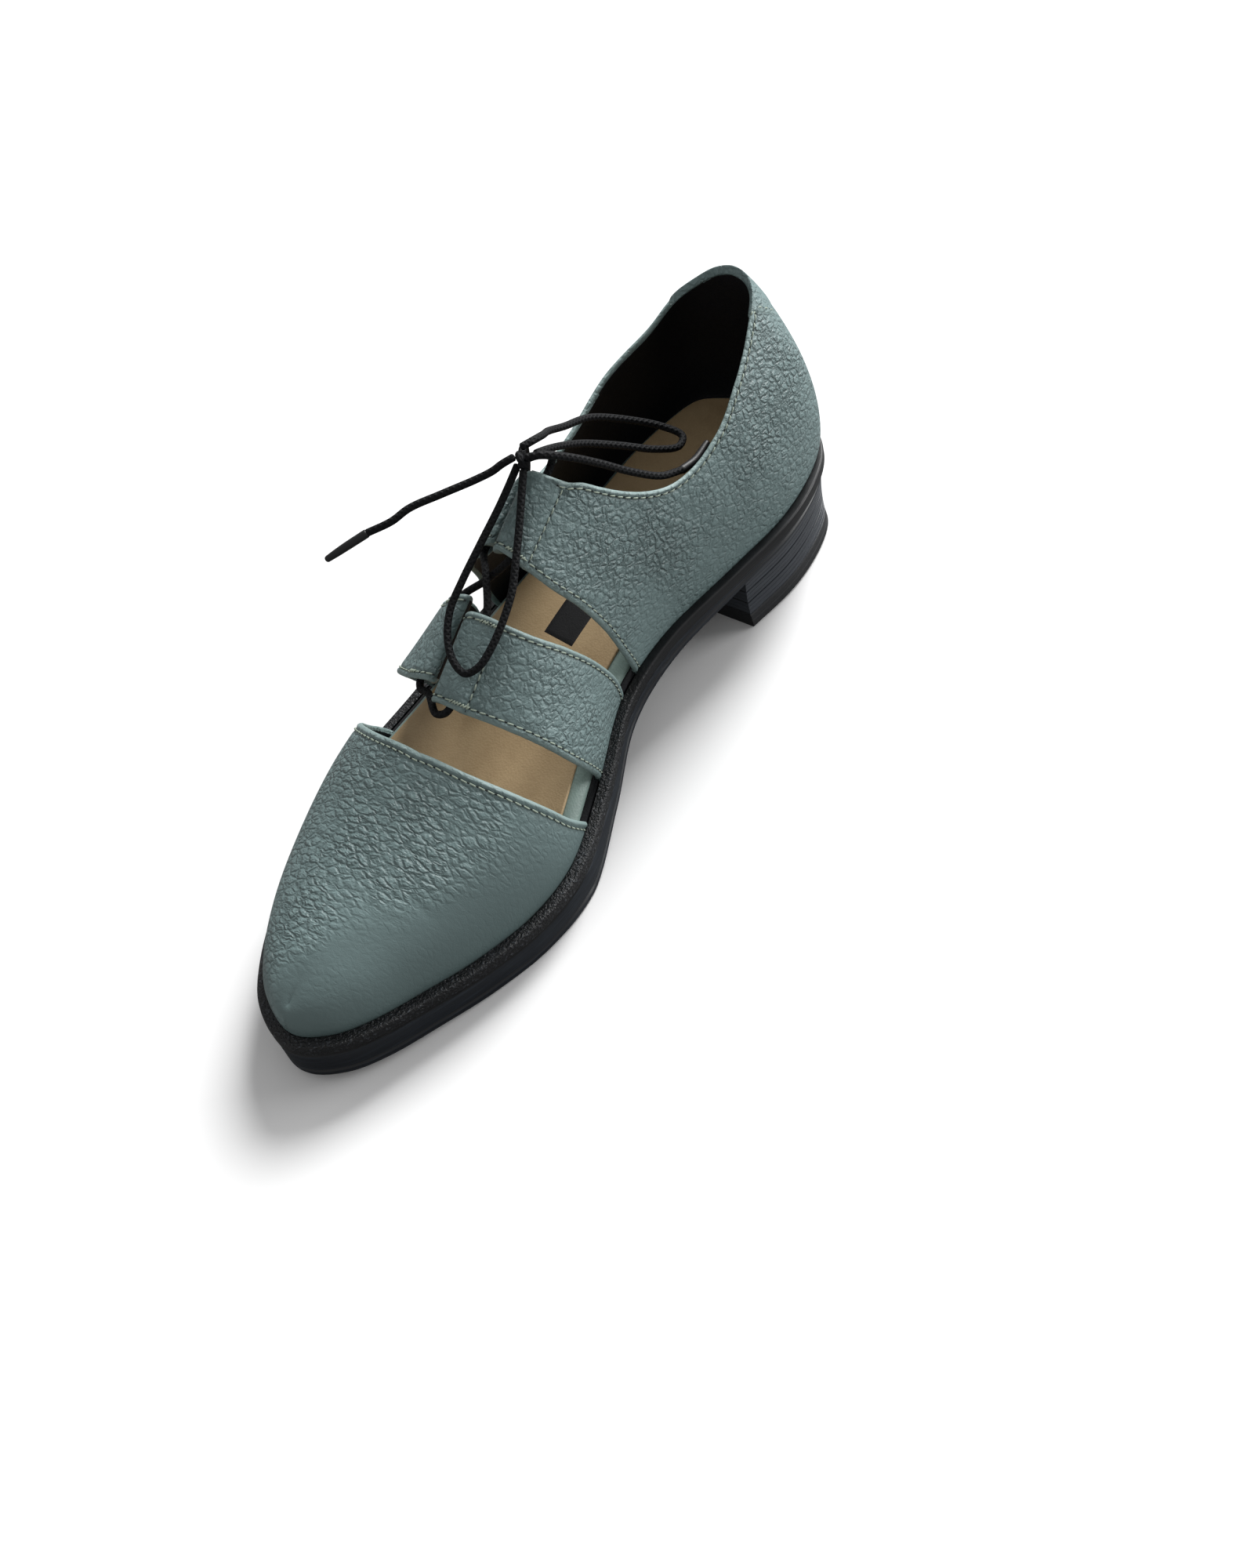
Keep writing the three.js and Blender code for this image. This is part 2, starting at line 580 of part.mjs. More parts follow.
function heelGeometry() {
  const top = (level) => outsoleBase(level) - CLEARANCE;
  const base = TOP_PIECE_THICKNESS + CLEARANCE;
  const edge = (share, drop) => (level) => mix(base, top(level), share) + drop;
  return plateGeometry(() => {
    const side = [];
    for (let k = LIFTS; k > 0; k -= 1) {
      const [high, low] = [k / LIFTS, (k - 1) / LIFTS];
      side.push([heelOut(mix(0.3, 1, high)), edge(high, k < LIFTS ? -LIFT_GROOVE : 0)]);
      side.push([heelOut(mix(0.3, 1, low)), edge(low, k > 1 ? LIFT_GROOVE : 0)]);
      if (k > 1) side.push([heelOut(mix(0.3, 1, low)) - LIFT_GROOVE, edge(low, 0)]);
    }
    return side;
  }, HEEL_STEPS);
}

function topPieceGeometry() {
  return plateGeometry(() => [
    [heelOut(0.3) - 0.4, () => TOP_PIECE_THICKNESS],
    [heelOut(0.28), () => TOP_PIECE_THICKNESS - 0.5],
    [heelOut(0), () => 0.9],
    [heelOut(0) - 0.9, () => 0],
  ], HEEL_STEPS);
}

function footbedGeometry() {
  const wall = LEATHER + CLEARANCE + 0.4;
  const rise = (share) => (level) => footbedBase(level) + FOOTBED_THICKNESS * share;
  return plateGeometry(() => [
    [-wall - FOOTBED_SLOPE, rise(1)],
    [-wall - FOOTBED_SLOPE * 0.45, rise(0.78)],
    [-wall, rise(0.3)],
    [-wall, rise(0)],
  ]);
}

function sockGeometry() {
  const edge = LEATHER + CLEARANCE + FOOTBED_SLOPE + SOCK_INSET;
  const base = (level) => footbedBase(level) + FOOTBED_THICKNESS + CLEARANCE;
  return plateGeometry(() => [
    [-edge - 0.4, (level) => base(level) + SOCK_THICKNESS],
    [-edge, (level) => base(level) + SOCK_THICKNESS - 0.4],
    [-edge, base],
  ]);
}

// Lace

function cordGeometry(points, diameter, steps) {
  const curve = new THREE.CatmullRomCurve3(points.map((p) => new THREE.Vector3(...p)), false, 'centripetal');
  const shape = new THREE.Shape();
  range(8).slice(0, -1).forEach((t, k) => {
    const x = Math.cos((t + 1 / 16) * 2 * Math.PI) * diameter / 2;
    const y = Math.sin((t + 1 / 16) * 2 * Math.PI) * diameter / 2;
    if (k) shape.lineTo(x, y);
    else shape.moveTo(x, y);
  });
  shape.closePath();
  return new THREE.ExtrudeGeometry(shape, { steps, extrudePath: curve, bevelEnabled: false, curveSegments: 1 });
}

function cordSolid(points, diameter, steps) {
  const geometry = cordGeometry(points, diameter, steps);
  geometry.deleteAttribute('normal');
  geometry.deleteAttribute('uv');
  return toManifold(mergeVertices(geometry, 1e-4));
}

// Middle of a tunnel at u, moved along the last by a share of its sections, as [x, y, z].
function tunnelPoint(u, side, depth = TUNNEL_DEPTH, shift = 0) {
  return girthPoint(u, tunnelGirth(u, side) + shift, depth).toArray();
}

// The bar lies across the front edges of the two straps, and its ends run up into their tunnels.
function laceBarGeometry() {
  const inTunnel = (side) => [0.572, 0.586, 0.597].map((u) => tunnelPoint(u - lagOf(side, 'strap'), side));
  const atMouth = (side) => [
    tunnelPoint(0.602 - lagOf(side, 'strap'), side, TUNNEL_DEPTH + 0.4, -0.02 * side),
    tunnelPoint(0.6045 - lagOf(side, 'strap'), side, TUNNEL_DEPTH + 0.9, -0.07 * side),
  ];
  const points = [...inTunnel(MEDIAL), ...atMouth(MEDIAL), ...atMouth(LATERAL).reverse(), ...inTunnel(LATERAL).reverse()];
  return toGeometry(cordSolid(points, LACE_DIAMETER, 18));
}

// Two runs cross between the quarters and the straps and touch where they cross.
function laceCrossingGeometry() {
  const middleU = 0.516 - LATERAL_LAG.strap / 2;
  const [medial, lateral] = [tunnelPoint(middleU, MEDIAL), tunnelPoint(middleU, LATERAL)];
  const run = (from, lift) => {
    const to = -from;
    return [
      ...[0.476, 0.488, 0.498].map((u) => tunnelPoint(u - lagOf(from, 'quarter'), from)),
      [(medial[0] + lateral[0]) / 2, (medial[1] + lateral[1]) / 2, (medial[2] + lateral[2]) / 2 + lift],
      ...[0.537, 0.547, 0.558].map((u) => tunnelPoint(u - lagOf(to, 'strap'), to)),
    ];
  };
  const over = cordSolid(run(LATERAL, 0.85), LACE_DIAMETER, 14);
  const under = cordSolid(run(MEDIAL, -0.85), LACE_DIAMETER, 14);
  return toGeometry(over.add(under));
}

// Free lace, on points of the last's own frame: the knot over the tops of the tabs, a loop that
// lies down the front, a loop that lies back into the shoe, and the two ends.
const KNOT = [106.1, -0.6, 103.7];
const FRONT_LOOP = [
  [107.4, -2, 102.3], [110.8, -2.2, 100], [117.9, -2.3, 96.1], [129, -3.3, 89.8], [138.6, -4.2, 84.1],
  [145.1, -4.4, 80], [151, -2.2, 76.4], [156.1, 2.5, 73], [157.8, 8, 71.4], [154.9, 11.1, 72.6],
  [149.1, 12.4, 75.7], [141.6, 12.4, 80], [134.9, 11.5, 84.1], [127.3, 8.8, 89.3], [119.9, 5.9, 94.3],
  [112, 2.6, 100], [108.6, 1.2, 102.5],
];
const BACK_LOOP = [
  [103.9, -1.5, 106.7], [99.9, -0.4, 106.2], [93.6, -3.4, 101.5], [88.5, -6.6, 97.3],
  [80.7, -8.3, 91.7], [68.4, -9.7, 84.1], [57.4, -6.1, 75.1], [49.8, 0.2, 68], [48.4, 6, 65.4],
  [53.6, 8.6, 66.3], [61.8, 6.6, 71.6], [70.6, 2.4, 79.2], [80.8, -1.2, 87.7], [90.1, -1, 95.1],
  [96.8, 0, 100], [101.4, 0.4, 102.7],
];
const LEFT_END = [
  [107.5, -2.4, 105.4], [110.2, -4.7, 104.4], [112.6, -6.8, 103.0], [116.2, -10.6, 101.5], [124, -17.5, 100.2],
  [131.4, -24.2, 98.7], [136.6, -27.2, 97.1], [141.7, -33.1, 94.8],
];
const LEFT_AGLET = [
  [142, -33.3, 94.7], [147.1, -37.6, 92.5], [151.8, -42.2, 89.8],
];
const RIGHT_END = [
  [106.0, 1.6, 105.7], [103.4, 5.2, 105.7], [97.2, 8.8, 100.6], [89.5, 11.5, 92.4], [81.3, 14.6, 82.9],
  [73, 17.6, 75], [65.9, 18.9, 71.3],
];
const RIGHT_AGLET = [
  [65.5, 19, 71.1], [59.3, 19.4, 69.9], [51.8, 18.6, 69.9],
];

// Two short runs come up out of the tunnels of the quarters into the knot.
function knotGeometry() {
  const rise = (side) => [
    tunnelPoint(0.462, side), tunnelPoint(0.450, side), tunnelPoint(0.438, side), tunnelPoint(0.427, side, TUNNEL_DEPTH - 0.4),
    [99.8, side > 0 ? 4.4 : -5.4, 101.4], [102.6, side > 0 ? 2.3 : -3.4, 103.6], KNOT,
  ];
  let solid = cordSolid(rise(MEDIAL), LACE_DIAMETER, 12).add(cordSolid(rise(LATERAL), LACE_DIAMETER, 12));
  const wrap = new THREE.TorusGeometry(1.9, LACE_DIAMETER / 2, 8, 10);
  wrap.rotateY(Math.PI / 2).rotateZ(-0.7).rotateY(0.5).translate(...KNOT);
  wrap.deleteAttribute('normal');
  wrap.deleteAttribute('uv');
  solid = solid.add(toManifold(mergeVertices(wrap, 1e-4)));
  return toGeometry(solid);
}

const cord = (points, diameter, steps) => toGeometry(cordSolid(points, diameter, steps));

const material = (color, roughness) => new THREE.MeshStandardMaterial({ color, roughness, metalness: 0 });
const LEATHER_GREEN = material(0x72857f, 0.55);
const SOCK_TAN = material(0xb59673, 0.7);
const SOLE_BLACK = material(0x17191c, 0.5);
const TREAD_BLACK = material(0x121315, 0.8);
const LACE_BLACK = material(0x111214, 0.45);

const shoe = new THREE.Group();
shoe.position.set(-HEEL_CENTRE, 0, 0);

function place(name, geometry, look) {
  const mesh = new THREE.Mesh(geometry, look);
  mesh.name = name;
  shoe.add(mesh);
}

place('upper', upperGeometry(), LEATHER_GREEN);
place('footbed', footbedGeometry(), LEATHER_GREEN);
place('insole', sockGeometry(), SOCK_TAN);
place('welt', weltGeometry(), SOLE_BLACK);
place('outsole', outsoleGeometry(), SOLE_BLACK);
place('heel', heelGeometry(), SOLE_BLACK);
place('top_piece', topPieceGeometry(), TREAD_BLACK);
place('lace_bar', laceBarGeometry(), LACE_BLACK);
place('lace_crossing', laceCrossingGeometry(), LACE_BLACK);
place('lace_knot', knotGeometry(), LACE_BLACK);
place('lace_loop_front', cord(FRONT_LOOP, LACE_DIAMETER, 22), LACE_BLACK);
place('lace_loop_back', cord(BACK_LOOP, LACE_DIAMETER, 22), LACE_BLACK);
place('lace_end_left', cord(LEFT_END, LACE_DIAMETER, 9), LACE_BLACK);
place('aglet_left', cord(LEFT_AGLET, AGLET_DIAMETER, 2), LACE_BLACK);
place('lace_end_right', cord(RIGHT_END, LACE_DIAMETER, 10), LACE_BLACK);
place('aglet_right', cord(RIGHT_AGLET, AGLET_DIAMETER, 2), LACE_BLACK);

const part = new THREE.Group();
part.add(shoe);

export default part;
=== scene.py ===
"""Right shoe of a cut-out lace-up pair in sage pebbled leather, dressed over its fixed frame.

Sizes are millimetres on the last, whose heel stands at x = 0; the part's own origin is the middle of
the heel's contact face. +X runs to the toe, +Y to the medial side and +Z up.
"""

import logging
import math
from dataclasses import dataclass, field
from enum import Enum
from typing import Any, Sequence

import bmesh
import bpy
import numpy as np
from mathutils import Matrix, Vector


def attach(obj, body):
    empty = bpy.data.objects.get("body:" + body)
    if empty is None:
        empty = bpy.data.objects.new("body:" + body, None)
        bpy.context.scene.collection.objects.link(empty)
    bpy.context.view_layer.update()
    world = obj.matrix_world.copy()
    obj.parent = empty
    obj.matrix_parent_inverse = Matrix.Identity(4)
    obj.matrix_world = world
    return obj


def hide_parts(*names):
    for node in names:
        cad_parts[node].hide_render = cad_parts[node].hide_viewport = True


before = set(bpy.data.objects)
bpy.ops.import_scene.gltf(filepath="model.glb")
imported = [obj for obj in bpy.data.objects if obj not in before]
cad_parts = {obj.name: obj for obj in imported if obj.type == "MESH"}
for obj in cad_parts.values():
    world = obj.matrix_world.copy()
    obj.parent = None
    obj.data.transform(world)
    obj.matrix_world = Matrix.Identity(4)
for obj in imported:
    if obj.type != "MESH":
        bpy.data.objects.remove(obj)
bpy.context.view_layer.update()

Array = np.ndarray
log = logging.getLogger("shoe")

HEEL_CENTRE = 30.15

# Columns of the last's lines that are read one by one.
X, FEATHER, SOLE, WELT_WIDTH, SOLE_WIDTH = 0, 2, 8, 9, 10

# x, medial, lateral, heel, spring, ridgeX, ridgeY, ridge, bulge, lateralBulge, fullness,
# lateralFullness, sole, welt, edge: shares of the last's sizes, from the heel to the toe.
SECTIONS = np.array([
    [0, 0, 0, 1, 0, 0.048, 0, 0.839, 0.064, 0.064, 2, 2, 0.57, 0.26, 0.1],
    [0.008, 0.158, 0.153, 0.974, 0, 0.055, 0, 0.852, 0.062, 0.062, 1.9, 1.9, 0.57, 0.3, 0.1],
    [0.031, 0.293, 0.281, 0.929, 0, 0.079, 0, 0.882, 0.056, 0.056, 1.7, 1.7, 0.57, 0.5, 0.14],
    [0.078, 0.361, 0.344, 0.88, 0, 0.118, 0, 0.931, 0.046, 0.044, 1.5, 1.5, 0.57, 0.72, 0.2],
    [0.156, 0.385, 0.382, 0.837, 0, 0.181, 0, 0.978, 0.036, 0.036, 1.5, 1.55, 0.57, 0.85, 0.27],
    [0.253, 0.342, 0.388, 0.791, 0, 0.259, 0, 1, 0.036, 0.033, 1.65, 1.3, 0.57, 0.86, 0.36],
    [0.37, 0.286, 0.406, 0.728, 0, 0.352, 0, 0.969, 0.039, 0.03, 1.75, 1.15, 0.6, 0.86, 0.58],
    [0.467, 0.29, 0.44, 0.529, 0, 0.444, 0.006, 0.88, 0.036, 0.023, 1.85, 1.28, 0.66, 0.9, 0.75],
    [0.563, 0.383, 0.492, 0.222, 0, 0.544, 0.012, 0.775, 0.029, 0.023, 2, 1.42, 0.87, 0.97, 0.88],
    [0.66, 0.476, 0.524, 0.05, 0, 0.647, 0.012, 0.606, 0.022, 0.022, 2, 1.66, 1.14, 1, 0.94],
    [0.738, 0.476, 0.495, 0, -0.008, 0.731, 0.012, 0.475, 0.017, 0.017, 2.05, 1.98, 1.02, 1, 0.94],
    [0.816, 0.415, 0.427, 0, 0.106, 0.808, 0.018, 0.369, 0.015, 0.015, 2.1, 2.1, 1, 1, 0.94],
    [0.883, 0.335, 0.337, 0, 0.385, 0.874, 0.024, 0.289, 0.012, 0.012, 2.2, 2.2, 1.03, 1, 0.94],
    [0.941, 0.258, 0.223, 0, 0.699, 0.928, 0.03, 0.222, 0.011, 0.011, 2.2, 2.2, 1.08, 1, 0.94],
    [0.98, 0.172, 0.105, 0, 0.923, 0.962, 0.042, 0.163, 0.008, 0.008, 2.2, 2.2, 1.13, 1.02, 0.96],
    [1, 0.048, -0.048, 0, 1, 0.982, 0.042, 0.119, 0.006, 0.006, 2.2, 2.2, 1.16, 1.04, 0.98],
])

# Edges of the leather pieces as (share up the girth or along the last, the other share).
VAMP_EDGE = ([0, 0.18, 0.31, 0.51, 0.73, 1], [0.566, 0.587, 0.598, 0.614, 0.628, 0.6365])
STRAP_REAR = ([0, 0.04, 0.10, 0.23, 0.42, 0.62, 0.79, 0.92, 1.06],
              [0.462, 0.464, 0.468, 0.482, 0.504, 0.524, 0.534, 0.538, 0.541])
STRAP_FRONT = ([0, 0.25, 0.48, 0.67, 0.84, 1.06], [0.531, 0.557, 0.575, 0.587, 0.595, 0.598])
QUARTER_EDGE = ([0, 0.11, 0.25, 0.42, 0.59, 0.77, 0.90, 1.06],
                [0.440, 0.450, 0.460, 0.474, 0.488, 0.496, 0.498, 0.498])
COLLAR_MEDIAL = ([0, 0.08, 0.146, 0.176, 0.249, 0.298, 0.332, 0.361, 0.384, 0.413, 0.437, 0.443],
                 [0.680, 0.678, 0.672, 0.645, 0.530, 0.435, 0.402, 0.422, 0.495, 0.660, 0.871, 1.0])
COLLAR_LATERAL = ([0, 0.063, 0.111, 0.180, 0.257, 0.318, 0.342, 0.363, 0.384, 0.413, 0.437, 0.443],
                  [0.680, 0.651, 0.604, 0.538, 0.425, 0.395, 0.400, 0.425, 0.495, 0.660, 0.871, 1.0])


class Side(Enum):
    """The two long sides of the shoe, with the sign of their y."""

    MEDIAL = 1
    LATERAL = -1


def mix(low: Any, high: Any, share: Any) -> Any:
    """Value at a share of the way from low to high."""
    return low + (high - low) * share


def smooth(x: Array) -> Array:
    """Cubic step: 0 below 0, 1 above 1, and 3t^2 - 2t^3 between."""
    t = np.clip(x, 0, 1)
    return t * t * (3 - 2 * t)


def unit(v: Array) -> Array:
    """Vectors along the last axis divided by their lengths."""
    return v / np.maximum(np.linalg.norm(v, axis=-1, keepdims=True), 1e-12)


def bump(x: Array, centre: float, width: float) -> Array:
    """Bell curve exp(-((x - centre) / width)^2)."""
    return np.exp(-(((x - centre) / width) ** 2))


def table(pairs: tuple[Sequence[float], Sequence[float]], at: Array) -> Array:
    """Smooth curve through a table of pairs.

    Each stretch is the cubic with the table's values at its ends and the table's own gradient as
    its slopes there.

    Args:
        pairs: The places and the values there.
        at: Where the curve is wanted.

    Returns:
        The curve's values.
    """
    xs, ys = np.asarray(pairs[0], float), np.asarray(pairs[1], float)
    slopes = np.gradient(ys, xs)
    k = np.clip(np.searchsorted(xs, at, side="right") - 1, 0, len(xs) - 2)
    step = xs[k + 1] - xs[k]
    t = np.clip((at - xs[k]) / step, 0, 1)
    return (ys[k] * (2 * t**3 - 3 * t**2 + 1) + step * slopes[k] * (t**3 - 2 * t**2 + t)
            + ys[k + 1] * (3 * t**2 - 2 * t**3) + step * slopes[k + 1] * (t**3 - t**2))


def collar_line(u: Array, side: Array) -> Array:
    """Share up the girth of the collar's edge at shares u along the last."""
    return np.where(side > 0, table(COLLAR_MEDIAL, u), table(COLLAR_LATERAL, u))


def shares_to_edge(count: int, width: float, close: int = 10) -> Array:
    """Shares from 0 to 1, even at first and crowding towards 1 as sin(t) over the last width."""
    edge = 1 - width + width * np.sin(np.linspace(0, math.pi / 2, close))
    return np.concatenate([np.linspace(0, 1 - width, count), edge[1:]])


def shares_both_edges(count: int, width: float, close: int = 8) -> Array:
    """Shares from 0 to 1 that crowd towards both ends over the given width."""
    edge = width * (1 - np.sin(np.linspace(math.pi / 2, 0, close)))
    return np.concatenate([edge[:-1], np.linspace(width, 1 - width, count), 1 - edge[::-1][1:]])


@dataclass
class Last:
    """The shoe's last: a family of superellipse sections between two feather lines and a ridge."""

    length: float = 256.7
    ball_width: float = 82.5
    instep_height: float = 77.0
    heel_rise: float = 22.2
    toe_spring: float = 4.8
    sole_stack: float = 14.3
    outsole: float = 9.8
    welt_width: float = 3.7
    leather: float = 1.8
    tab_thickness: float = 5.8
    tab_raise: float = 1.6
    tab_depth: float = 13.5
    tab_gap: float = 2.6
    tab_from: float = 0.33
    medial_tab_end: float = -0.045
    tunnel_inset: float = 6.6
    quarter_lag: float = 0.008
    strap_lag: float = 0.013
    rows: Array = field(init=False, repr=False)

    def __post_init__(self) -> None:
        """Work out the lines of both sides, and where the tabs end and their tunnels run."""
        s = SECTIONS
        feather = self.sole_stack + s[:, 3] * self.heel_rise + s[:, 4] * self.toe_spring
        sides = []
        for y, bulge, fullness in ((s[:, 1], s[:, 8], s[:, 10]), (-s[:, 2], s[:, 9], s[:, 11])):
            sides.append(np.stack([
                s[:, 0] * self.length, y * self.ball_width, feather, s[:, 5] * self.length,
                s[:, 6] * self.ball_width, feather + s[:, 7] * self.instep_height,
                bulge * self.ball_width, fullness, s[:, 12] * self.outsole,
                s[:, 13] * self.welt_width, s[:, 14] * self.welt_width], axis=1))
        medial, lateral = sides
        self.rows = np.stack([np.vstack([lateral[1:2], medial, lateral[-2:-1]]),
                              np.vstack([medial[1:2], lateral, medial[-2:-1]])])
        self._us = np.linspace(0.3, 0.66, 181)
        self._ends = self._reach(self.medial_tab_end, -1, self.tab_gap)
        self._tunnels = {Side.MEDIAL: self._reach(self.medial_tab_end, 1, self.tunnel_inset),
                         Side.LATERAL: self._reach(self._ends, -1, self.tunnel_inset)}
        levels = self.line(np.linspace(0, 1, 401), 1.0)[0]
        self._levels = levels[:, [X, FEATHER, SOLE]]

    def _reach(self, start: float | Array, way: int, distance: float) -> Array:
        """Girth share at a distance round the last from another girth share, for each u."""
        start = np.broadcast_to(start, self._us.shape)
        steps = np.linspace(0, 0.3, 301)
        g = start[:, None] + way * steps[None, :]
        far = np.linalg.norm(self.girth(self._us[:, None], g)
                             - self.girth(self._us, start)[:, None, :], axis=-1)
        return np.array([start[k] + way * np.interp(distance, far[k], steps)
                         for k in range(len(start))])

    def line(self, u: Array, side: Array) -> tuple[Array, Array]:
        """Lines of the last at shares u of the way along its sections.

        Each span between two sections is the uniform Catmull-Rom cubic through four of them.

        Args:
            u: Shares from the heel (0) to the toe (1).
            side: 1 for medial and -1 for lateral, broadcast with u.

        Returns:
            The line's values and its slopes along the span.
        """
        u, side = np.broadcast_arrays(np.asarray(u, float), np.asarray(side, float))
        which = (side < 0).astype(int)
        s = np.clip(u, 0, 1) * (len(SECTIONS) - 1)
        k = np.minimum(len(SECTIONS) - 2, s.astype(int))
        f = (s - k)[..., None]
        a, b, c, d = (self.rows[which, k + n] for n in range(4))
        value = 0.5 * (2 * b + (c - a) * f + (2 * a - 5 * b + 4 * c - d) * f**2
                       + (3 * b - a - 3 * c + d) * f**3)
        slope = 0.5 * ((c - a) + 2 * (2 * a - 5 * b + 4 * c - d) * f
                       + 3 * (3 * b - a - 3 * c + d) * f**2)
        return value, slope

    def plan(self, u: Array, side: Array) -> tuple[Array, Array]:
        """Lines with their outward direction in plan, square to the feather line."""
        value, slope = self.line(u, side)
        sign = np.where(np.broadcast_to(side, value.shape[:-1]) < 0, -1.0, 1.0)[..., None]
        return value, unit(np.stack([-slope[..., 1], slope[..., 0]], -1) * sign)

    def point(self, u: Array, v: Array, side: Array, depth: Array = 0.0) -> Array:
        """Points of the last's surface.

        A section is the superellipse |c|^n + |s|^n = 1 stretched from its foot to its ridge, with
        a swell of bulge * sin(pi v^0.6) outwards. Depth moves the foot in along the plan normal and
        the ridge in along its own normal.

        Args:
            u: Shares along the sections.
            v: Shares from the feather line (0) to the ridge (1).
            side: Signs of the side.
            depth: Millimetres into the shoe.

        Returns:
            Points with xyz on the last axis.
        """
        u, v, side, depth = np.broadcast_arrays(*(np.asarray(n, float) for n in (u, v, side, depth)))
        value, plan = self.plan(u, side)
        low = self.line(np.clip(u - 0.001, 0, 1), side)[0]
        high = self.line(np.clip(u + 0.001, 0, 1), side)[0]
        ridge = unit(np.stack([low[..., 5] - high[..., 5], high[..., 3] - low[..., 3]], -1))
        x, y, z, ridge_x, ridge_y, ridge_z, bulge, fullness = np.moveaxis(value[..., :8], -1, 0)
        v = np.clip(v, 0, 1)
        c, s = np.cos(v * math.pi / 2), np.sin(v * math.pi / 2)
        radius = (np.abs(c) ** fullness + np.abs(s) ** fullness) ** (-1 / fullness)
        along, up = 1 - radius * c, radius * s
        swell = bulge * np.sin(math.pi * v**0.6)
        return np.stack([
            mix(x - plan[..., 0] * depth, ridge_x - ridge[..., 0] * depth, along) + plan[..., 0] * swell,
            mix(y - plan[..., 1] * depth, ridge_y, along) + plan[..., 1] * swell,
            mix(z, ridge_z - ridge[..., 1] * depth, up)], -1)

    def girth(self, u: Array, g: Array, depth: Array = 0.0) -> Array:
        """Points with g from 1 at the medial feather line over 0 at the ridge to -1."""
        return self.point(u, 1 - np.abs(g), np.where(np.asarray(g) < 0, -1.0, 1.0), depth)

    def tab_end(self, u: Array, side: Array) -> Array:
        """Girth share where the folded tabs of a side end."""
        return np.where(side > 0, self.medial_tab_end, np.interp(u, self._us, self._ends))

    def tunnel(self, u: Array, side: Side) -> Array:
        """Girth share of the middle of the tunnels inside the tabs."""
        return np.interp(u, self._us, self._tunnels[side])

    def tab_depths(self, u: Array, distance: Array) -> tuple[Array, Array]:
        """Depths of the outer and inner faces of a folded tab at a distance from its fold.

        The pair is blended from the plain wall to the thick tab by a smooth step, and the fold is
        the half circle sqrt(1 - (1 - d / r)^2) about the middle depth.
        """
        tab = u >= self.tab_from
        full = smooth((self.tab_depth - distance) / 3.5) * tab
        outer = -self.tab_raise * full
        inner = mix(self.leather, self.tab_thickness - self.tab_raise, full)
        near = np.clip(distance / (self.tab_thickness / 2), 0, 1)
        fold = np.where(tab, np.sqrt(np.maximum(0, 1 - (1 - near) ** 2)), 1.0)
        middle = (outer + inner) / 2
        return mix(middle, outer, fold), mix(middle, inner, fold)

    def level(self, x: Array) -> tuple[Array, Array]:
        """Feather height and outsole thickness over a place along the shoe."""
        return (np.interp(x, self._levels[:, 0], self._levels[:, 1]),
                np.interp(x, self._levels[:, 0], self._levels[:, 2]))

    def rim(self, u: Array, side: float, offset: Array) -> Array:
        """Plan points moved out from the feather line by an offset."""
        value, plan = self.plan(u, side)
        return value[..., :2] + plan * offset[..., None]


LAST = Last()


def metres(points: Array) -> Array:
    """Points of the last's frame in millimetres, moved to the part's frame in metres."""
    return (np.asarray(points, float) - [HEEL_CENTRE, 0, 0]) * 0.001


def grid_faces(rows: int, columns: int, start: int = 0, wrap: bool = False) -> Array:
    """Quads of a grid whose vertices run along its columns first.

    Args:
        rows: Number of vertex rows.
        columns: Number of vertices in a row.
        start: Index of the first vertex.
        wrap: Whether the last column joins the first.

    Returns:
        Vertex indices, four in a row.
    """
    across = columns if wrap else columns - 1
    i, j = np.meshgrid(np.arange(rows - 1), np.arange(across), indexing="ij")
    k = (j + 1) % columns
    quads = np.stack([i * columns + j, (i + 1) * columns + j, (i + 1) * columns + k, i * columns + k], -1)
    return quads.reshape(-1, 4) + start


def wall_faces(rows: int, columns: int, far_row: bool = True) -> Array:
    """Quads of two equal grids, one behind the other, and of the strips that join their borders.

    Args:
        rows: Vertex rows of either grid.
        columns: Vertices in a row.
        far_row: Whether the last rows are joined too.

    Returns:
        Vertex indices, four in a row: the front grid, the back grid and the strips.
    """
    count = rows * columns
    quads = [grid_faces(rows, columns), grid_faces(rows, columns, count)[:, ::-1]]
    i, j = np.arange(rows - 1) * columns, np.arange(columns - 1)
    for a, turn in ((i, 1), (i + columns - 1, -1)):
        quads.append(np.stack([a + columns, a, a + count, a + columns + count], 1)[:, ::turn])
    for a, turn in ((j, 1), ((rows - 1) * columns + j, -1))[:1 + far_row]:
        quads.append(np.stack([a, a + 1, a + 1 + count, a + count], 1)[:, ::turn])
    return np.concatenate(quads)


@dataclass
class Shell:
    """Loose mesh data: points in the last's frame, quads, and what each carries."""

    points: Array
    faces: Array
    looks: Array | None = None
    marks: dict[str, Array] = field(default_factory=dict)
    uv: Array | None = None


def rim_ring(steps: int, profile: Any) -> Shell:
    """A closed ring along the feather line, down one side of the last and back up the other.

    Args:
        steps: Places along a side.
        profile: Function of the welt's width that gives pairs of (offset outwards, millimetres down).

    Returns:
        The closed shell.
    """
    u = np.linspace(0, 1, steps)
    loops = []
    for side, way in ((1.0, u), (-1.0, u[::-1][1:-1])):
        ring = []
        for offset, drop in profile(LAST.line(way, side)[0][:, WELT_WIDTH]):
            xy = LAST.rim(way, side, np.broadcast_to(offset, way.shape))
            ring.append(np.column_stack([xy, LAST.level(xy[:, 0])[0] - drop]))
        loops.append(np.stack(ring, 1))
    loop = np.concatenate([*loops, loops[0][:1]])
    return Shell(loop.reshape(-1, 3), grid_faces(*loop.shape[:2], wrap=True))


